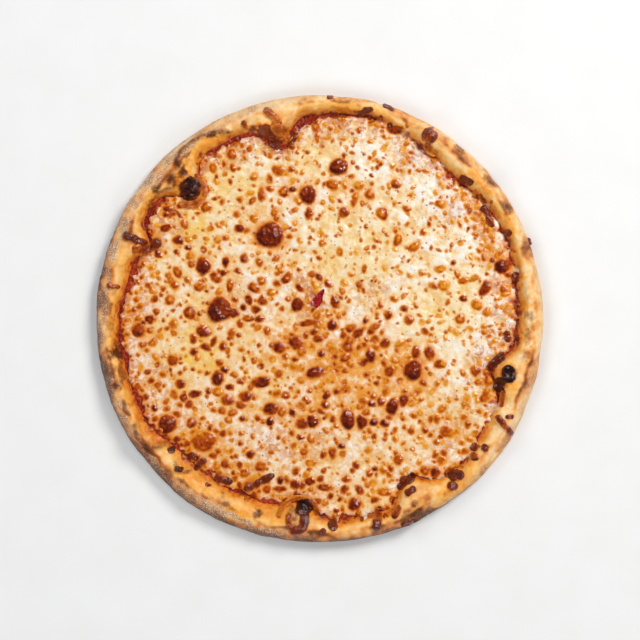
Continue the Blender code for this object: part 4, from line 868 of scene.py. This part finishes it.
bump = add(tree, "Bump", {"Height": relief, "Distance": 0.3 * MM})
plug(tree, shader, {"Base Color": base, "Roughness": roughness, "Normal": bump, "Specular IOR Level": 0.65,
                    "Subsurface Weight": 0.1, "Subsurface Radius": (1.0, 0.5, 0.25), "Subsurface Scale": 1.5 * MM})
cheese.data.materials.append(melted)
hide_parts("cheese")
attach(cheese, "root")

# BROWNED CHEESE
# Shreds and drops of cheese that fell on the rim or were pushed to its edge, and dried, browned and shrank there.
# They stick to the dough and are one joined mesh.

# Each is the solid that it stands for, or None for a small scrap, then pixels along its middle, half its width and
# its thickness in mm, and its tone at either end
BROWNED = [
    ("shred_top", [(267.2, 111.5), (272.5, 117.5), (279, 124)], 2.7, 2.7, 0.42, 0.30),
    ("shred_top_stub", [(244.6, 124.2), (246.2, 128.2)], 2.1, 1.8, 0.5, 0.2),
    ("shred_left", [(109.6, 285.5), (114.7, 286.5), (119.4, 287.1)], 1.7, 1.9, 0.58, 0.46),
    ("shred_upper_left", [(127.2, 235.3), (133.7, 238.7), (140.2, 241.9), (145.7, 243.6)], 2.6, 2.4, 0.82, 0.6),
    ("shred_bottom", [(377.7, 513), (376.9, 520.3), (376, 527)], 2.9, 2.7, 0.36, 0.82),
    ("shred_right", [(496.6, 416.6), (503.5, 424.5), (511.0, 433.5)], 2.0, 2.2, 0.54, 0.54),
    ("shred_right_stub", [(505.7, 415.9), (510.9, 416.3)], 1.5, 1.6, 0.72, 0.66),
    ("shred_lower_right", [(451, 474.9), (455.4, 473.5), (459.5, 474.3)], 3.4, 3.0, 0.84, 0.76),
    ("shred_lower_right_curl", [(449.5, 484), (453.9, 485.5)], 2.8, 2.4, 0.70, 0.74),
    ("shred_fold", [(393.7, 515), (396, 510.3), (398.1, 506.2)], 2.1, 2.0, 0.62, 0.40),
    ("drop_upper_right", [(427.6, 136.0), (430.0, 137.8)], 5.8, 3.6, 0.62, 0.56),
    ("drop_bottom", [(332.3, 522.9), (333.7, 524.6)], 3.7, 2.6, 0.72, 0.78),
    ("drop_bottom_small", [(322.5, 529), (323.2, 531.1)], 2.3, 1.8, 0.60, 0.82),
    ("drop_lower_left", [(171, 449.9), (172.2, 449.1)], 2.5, 2.0, 0.80, 0.80),
    ("shred_lower_left", [(177.3, 467.3), (179.6, 468.5), (182.3, 468.2)], 2.0, 1.9, 0.84, 0.74),
    ("drop_right", [(474.4, 445.1), (473.4, 448)], 2.5, 2.0, 0.6, 0.6),
    (None, [(270, 142), (276, 146), (283, 146.5), (291, 142), (295, 135)], 2.4, 2.0, 0.7, 0.6),
    (None, [(272, 136), (277, 140.5), (284, 141), (290, 136)], 3.0, 2.6, 0.6, 0.3),
    (None, [(276, 127), (280, 132), (286, 131)], 3.6, 3.0, 0.42, 0.3),
    (None, [(289, 513), (288.5, 521), (293, 528)], 1.7, 1.9, 0.5, 0.6),
    (None, [(293.5, 528.5), (299.5, 528), (304, 522), (305, 514)], 3.3, 2.6, 0.62, 0.85),
    (None, [(279.5, 514), (284, 505), (293, 498), (305, 497.5), (314, 503), (317.5, 513)], 1.9, 2.6, 0.25, 0.3),
    (None, [(303.8, 505.2), (305.2, 506.8)], 6.4, 4.4, 1.06, 1.0),
    (None, [(197, 177), (203, 184), (203.5, 195), (197, 203), (188, 205), (182, 204)], 2.6, 1.9, 0.3, 0.34),
    (None, [(191.6, 185.5), (189.8, 193)], 7.2, 3.4, 0.98, 0.9),
    (None, [(172, 210), (177, 212.5), (182, 217)], 1.2, 0.8, 0.36, 0.4),
    (None, [(137, 250), (147, 250), (157, 243)], 3.6, 2.2, 0.36, 0.6),
    (None, [(503, 391), (502, 398), (501, 405)], 1.6, 1.4, 0.4, 0.4),
    (None, [(484, 446), (484.6, 448)], 2.7, 2.0, 0.66, 0.62),
    (None, [(473.4, 454.6), (473.6, 457)], 2.6, 2.0, 0.5, 0.62),
    (None, [(399.5, 487), (406, 481), (412.5, 475.5)], 2.6, 2.2, 0.72, 0.70),
    (None, [(406.5, 492), (413, 487.5)], 2.2, 1.8, 0.70, 0.66),
    (None, [(246, 488.5), (254, 485), (262, 480.5), (272, 475.5)], 2.3, 1.9, 0.68, 0.72),
    (None, [(207, 483), (210, 485)], 1.0, 0.9, 0.6, 0.6),
    (None, [(507, 370.5), (507, 376.5)], 5.2, 3.4, 1.05, 0.98),
    (None, [(499, 381), (498.5, 388)], 3.8, 2.6, 0.95, 1.0),
    (None, [(490, 368), (495, 361), (501, 357)], 3.2, 2.4, 0.7, 0.85),
    (None, [(514.5, 275), (515.5, 282)], 2.6, 2.0, 0.68, 0.66),
    (None, [(506.5, 333), (507.5, 340)], 2.2, 1.8, 0.66, 0.72),
    (None, [(515.5, 338), (517, 339)], 1.8, 1.4, 0.74, 0.73),
    (None, [(462, 178.5), (469.5, 183.5)], 2.5, 2.0, 0.73, 0.67),
    (None, [(483, 208.5), (487.5, 213.5), (488.5, 219), (492, 225)], 2.3, 1.6, 0.8, 0.62),
    (None, [(506, 232), (508, 234)], 2.2, 1.8, 0.67, 0.64),
    (None, [(480, 196), (484, 202)], 1.6, 1.2, 0.5, 0.45),
    (None, [(331, 113.8), (338, 116.4), (345, 115.4)], 1.9, 2.0, 0.56, 0.6),
    (None, [(359, 113.4), (365, 111.8), (370.5, 110.4)], 2.0, 1.6, 0.62, 0.74),
    (None, [(190, 456), (193, 455)], 2.4, 1.9, 0.74, 0.74),
    (None, [(196.5, 467.5), (204, 460.5)], 2.3, 1.9, 0.76, 0.70),
    (None, [(217, 477), (223, 480), (230, 481.5)], 2.4, 1.9, 0.61, 0.74),
    (None, [(384, 106), (388.5, 107.8), (392, 110.5)], 1.7, 1.8, 0.71, 0.70),
    (None, [(328, 98.6), (332, 98.4)], 1.3, 1.4, 0.67, 0.66),
    (None, [(528.6, 239), (529.4, 244)], 1.5, 1.5, 0.61, 0.59),
    (None, [(404, 521.5), (411, 521)], 1.9, 1.5, 0.73, 0.74),
    (None, [(427, 147), (430, 151), (434, 153)], 3.2, 1.7, 0.3, 0.2),
]  # fmt: skip
SCRAPS = 90  # small scraps along the cheese's edge
for _ in range(SCRAPS):
    turn = dice.uniform(0, math.tau)
    radius = edge_at(turn) + dice.uniform(-2.2, 2.6)
    heading = turn + math.pi / 2 + dice.normal(0, 0.6)
    length, bend, half_width = dice.uniform(0.4, 2.0), dice.normal(0, 0.5), dice.uniform(0.7, 1.5)
    middle_x = MIDDLE_PIXEL[0] + radius * math.cos(turn) / MM_PER_PIXEL
    middle_y = MIDDLE_PIXEL[1] - radius * math.sin(turn) / MM_PER_PIXEL
    line = [(middle_x + side * length * math.cos(heading + side * bend) / MM_PER_PIXEL,
             middle_y - side * length * math.sin(heading + side * bend) / MM_PER_PIXEL) for side in (-1, 0, 1)]
    BROWNED.append((None, line, half_width, half_width * 1.1, *dice.uniform(0.1, 0.62, 2)))
SIDES, STATIONS = 20, 28
shifted = [tuple(v + len(crust_shape) for v in face) for face in cheese_faces]
finished_tree = tree_of(np.concatenate([crust_shape, cheese_points]), [*crust_faces, *shifted])


def along_line(knots, places):
    """Points on a smooth line through the knots, at shares from 0 to 1 of the way."""
    knots = np.array([2 * knots[0] - knots[1], *knots, 2 * knots[-1] - knots[-2]])
    place = np.asarray(places) * (len(knots) - 3)
    first = np.minimum(place.astype(int), len(knots) - 4)
    t = (place - first)[:, None]
    before, here, after, beyond = (knots[first + i] for i in range(4))
    curve = 2 * here + (after - before) * t + (2 * before - 5 * here + 4 * after - beyond) * t**2
    return 0.5 * (curve + (3 * here - before - 3 * after + beyond) * t**3)


points, faces, tones, highs = [], [], [], []
turns = np.linspace(0, math.tau, SIDES, endpoint=False)
for number, (name, pixels, half_width, thickness, tone_start, tone_end) in enumerate(BROWNED):
    knots = np.array([from_photo(*p) for p in pixels])
    lead, tail = knots[0] - knots[1], knots[-1] - knots[-2]
    knots[0] += lead / np.linalg.norm(lead) * half_width * 0.8
    knots[-1] += tail / np.linalg.norm(tail) * half_width * 0.8
    share = (1 - np.cos(np.linspace(0, math.pi, STATIONS))) / 2
    spine = along_line(knots, share)
    own_noise = np.column_stack([spine, np.full(STATIONS, number * 9.0)])
    ahead = np.gradient(spine, axis=0)
    side = np.stack([-ahead[:, 1], ahead[:, 0]], axis=1) / np.linalg.norm(ahead, axis=1)[:, None]
    spine = spine + side * 0.35 * noise_at(own_noise, 3.5, 74)[:, None]
    ends = np.minimum(np.linalg.norm(spine - spine[0], axis=1), np.linalg.norm(spine - spine[-1], axis=1))
    full = np.maximum(np.sqrt(1 - (1 - np.minimum(1, ends / half_width)) ** 2), 0.02)
    full *= 1 + 0.16 * noise_at(own_noise, 2.6, 71)
    across = spine[:, None] + side[:, None] * (np.cos(turns)[None, :, None] * (half_width * full)[:, None, None])
    across = across.reshape(-1, 2)
    ground = height_on(finished_tree, across, EDGE_HEIGHT).reshape(STATIONS, -1)
    middle = np.median(ground, axis=1)[:, None]
    ground = middle + np.clip(ground - middle, -thickness, thickness)
    lift = -0.5 + (thickness + 0.4) * full[:, None] * ((1 + np.sin(turns)) / 2) ** 0.8
    body = np.column_stack([across, (ground + lift).ravel()])
    body += 0.22 * np.stack([noise_at(body, 1.9, seed) for seed in (72, 75, 76)], axis=1)
    body[:, 2] += 0.14 * noise_at(body, 0.9, 73)
    body[:, 2] = np.minimum(body[:, 2], cad_box[1][2] / MM)  # no higher than the solids
    start, last = len(points), len(points) + (STATIONS - 1) * SIDES
    faces += [face[::-1] for face in closed_rows(STATIONS, SIDES, start)]
    faces += [list(range(start, start + SIDES))[::-1], list(range(last, last + SIDES))]
    points += body.tolist()
    own_tone = tone_start + (tone_end - tone_start) * share - 0.2 + 0.12 * noise_at(own_noise, 3.0, 77)
    tones += np.repeat(own_tone, SIDES).tolist()
    highs += np.tile(np.clip(np.sin(turns), 0, 1) ** 1.6, STATIONS).tolist()
browned = new_piece("cheese_browned", points, faces)
paint(browned, "tone", np.array(tones), np.array(highs))

# Browned mozzarella: a dry, wrinkled and shiny skin, orange-brown to black, darkest on top.
crisp, tree, shader, place = new_material("browned_mozzarella")
tone = add(tree, "Attribute", attribute_name="tone")
fields = add(tree, "SeparateColor", {0: tone.outputs["Color"]}).outputs
fine = add(tree, "TexNoise", {"Vector": place, "Scale": 1 / (0.7 * MM), "Detail": 2.0})
web = add(tree, "TexNoise", {"Vector": place, "Scale": 1 / (1.9 * MM), "Detail": 3.0})
# How dark it baked, more so on top
level = add(tree, "Math", {0: web, 1: 0.7, 2: fields["Red"]}, operation="MULTIPLY_ADD")
level = add(tree, "Math", {0: fields["Green"], 1: 0.3, 2: level}, operation="MULTIPLY_ADD")
base = add(tree, "ValToRGB", {0: level}, [(0.5, "E68E28"), (0.7, "C8641A"), (0.86, "A04412"), (1.0, "74260C")])
black = add(tree, "MapRange", {0: level, 1: 1.1, 2: 1.5})
base = add(tree, "Mix", {0: black, 6: base, 7: "1A0B09"}, data_type="RGBA")
relief = add(tree, "Math", {0: fine, 1: 0.3, 2: web}, operation="MULTIPLY_ADD")
bump = add(tree, "Bump", {"Height": relief, "Distance": 0.75 * MM})
plug(tree, shader, {"Base Color": base, "Roughness": 0.18, "Normal": bump, "Specular IOR Level": 0.8})
browned.data.materials.append(crisp)
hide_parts(*(piece[0] for piece in BROWNED if piece[0]))
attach(browned, "root")

# FLOOR, LIGHT AND CAMERA
# A pale plaster floor. A soft light stands to the upper right, with three weaker ones at the other corners and a
# little light all round, and a long lens looks straight down.
FLOOR_REACH = 2000
corners = [(x * FLOOR_REACH, y * FLOOR_REACH, 0) for x, y in ((-1, -1), (1, -1), (1, 1), (-1, 1))]
floor = new_piece("floor", corners, [(0, 1, 2, 3)])
plaster, tree, shader, place = new_material("pale_plaster")
cloud = add(tree, "TexNoise", {"Vector": place, "Scale": 1 / (30 * MM), "Detail": 4.0})
base = add(tree, "ValToRGB", {0: cloud}, [(0.3, "F4F4F3"), (0.7, "F7F7F7")])
plug(tree, shader, {"Base Color": base, "Roughness": 0.8})
floor.data.materials.append(plaster)


def soft_light(name, place, size, power, tint, glints=False):
    """A round panel of light that faces the pizza. Only one with glints shows in the gloss."""
    data = bpy.data.lights.new(name, "AREA")
    data.shape, data.size, data.energy, data.color = "DISK", size, power, tint
    made = bpy.data.objects.new(name, data)
    made.location = place
    made.rotation_euler = Vector(place).to_track_quat("Z", "Y").to_euler()
    made.visible_glossy = glints
    bpy.context.scene.collection.objects.link(made)


soft_light("key", (0.80, 0.80, 1.15), 0.6, 15.8, (1.0, 0.99, 0.975), glints=True)
soft_light("fill_left", (-0.80, 0.75, 1.15), 0.9, 7.2, (0.98, 0.99, 1.0))
soft_light("fill_near_left", (-0.80, -0.85, 1.15), 0.9, 7.0, (0.98, 0.99, 1.0))
soft_light("fill_near_right", (0.80, -0.85, 1.15), 0.9, 6.2, (1.0, 1.0, 1.0))
studio = bpy.data.worlds.new("studio")
studio.use_nodes = True
sky = studio.node_tree.nodes["Background"]
plug(studio.node_tree, sky, {"Color": (0.94, 0.97, 1, 1), "Strength": 0.08})
bpy.context.scene.world = studio
bpy.context.scene.view_settings.view_transform = "Standard"

FRAME_PIXELS = 640
LENS, SENSOR = 85.0, 36.0
WIDEST_HEIGHT = 6.0  # where the rim is widest, which the frame's scale is right for
view = bpy.data.cameras.new("camera")
view.lens, view.sensor_width = LENS, SENSOR
camera = bpy.data.objects.new("camera", view)
x, y = from_photo(FRAME_PIXELS / 2, FRAME_PIXELS / 2)
camera.location = (x * MM, y * MM, (FRAME_PIXELS * MM_PER_PIXEL * LENS / SENSOR + WIDEST_HEIGHT) * MM)
bpy.context.scene.collection.objects.link(camera)
bpy.context.scene.camera = camera
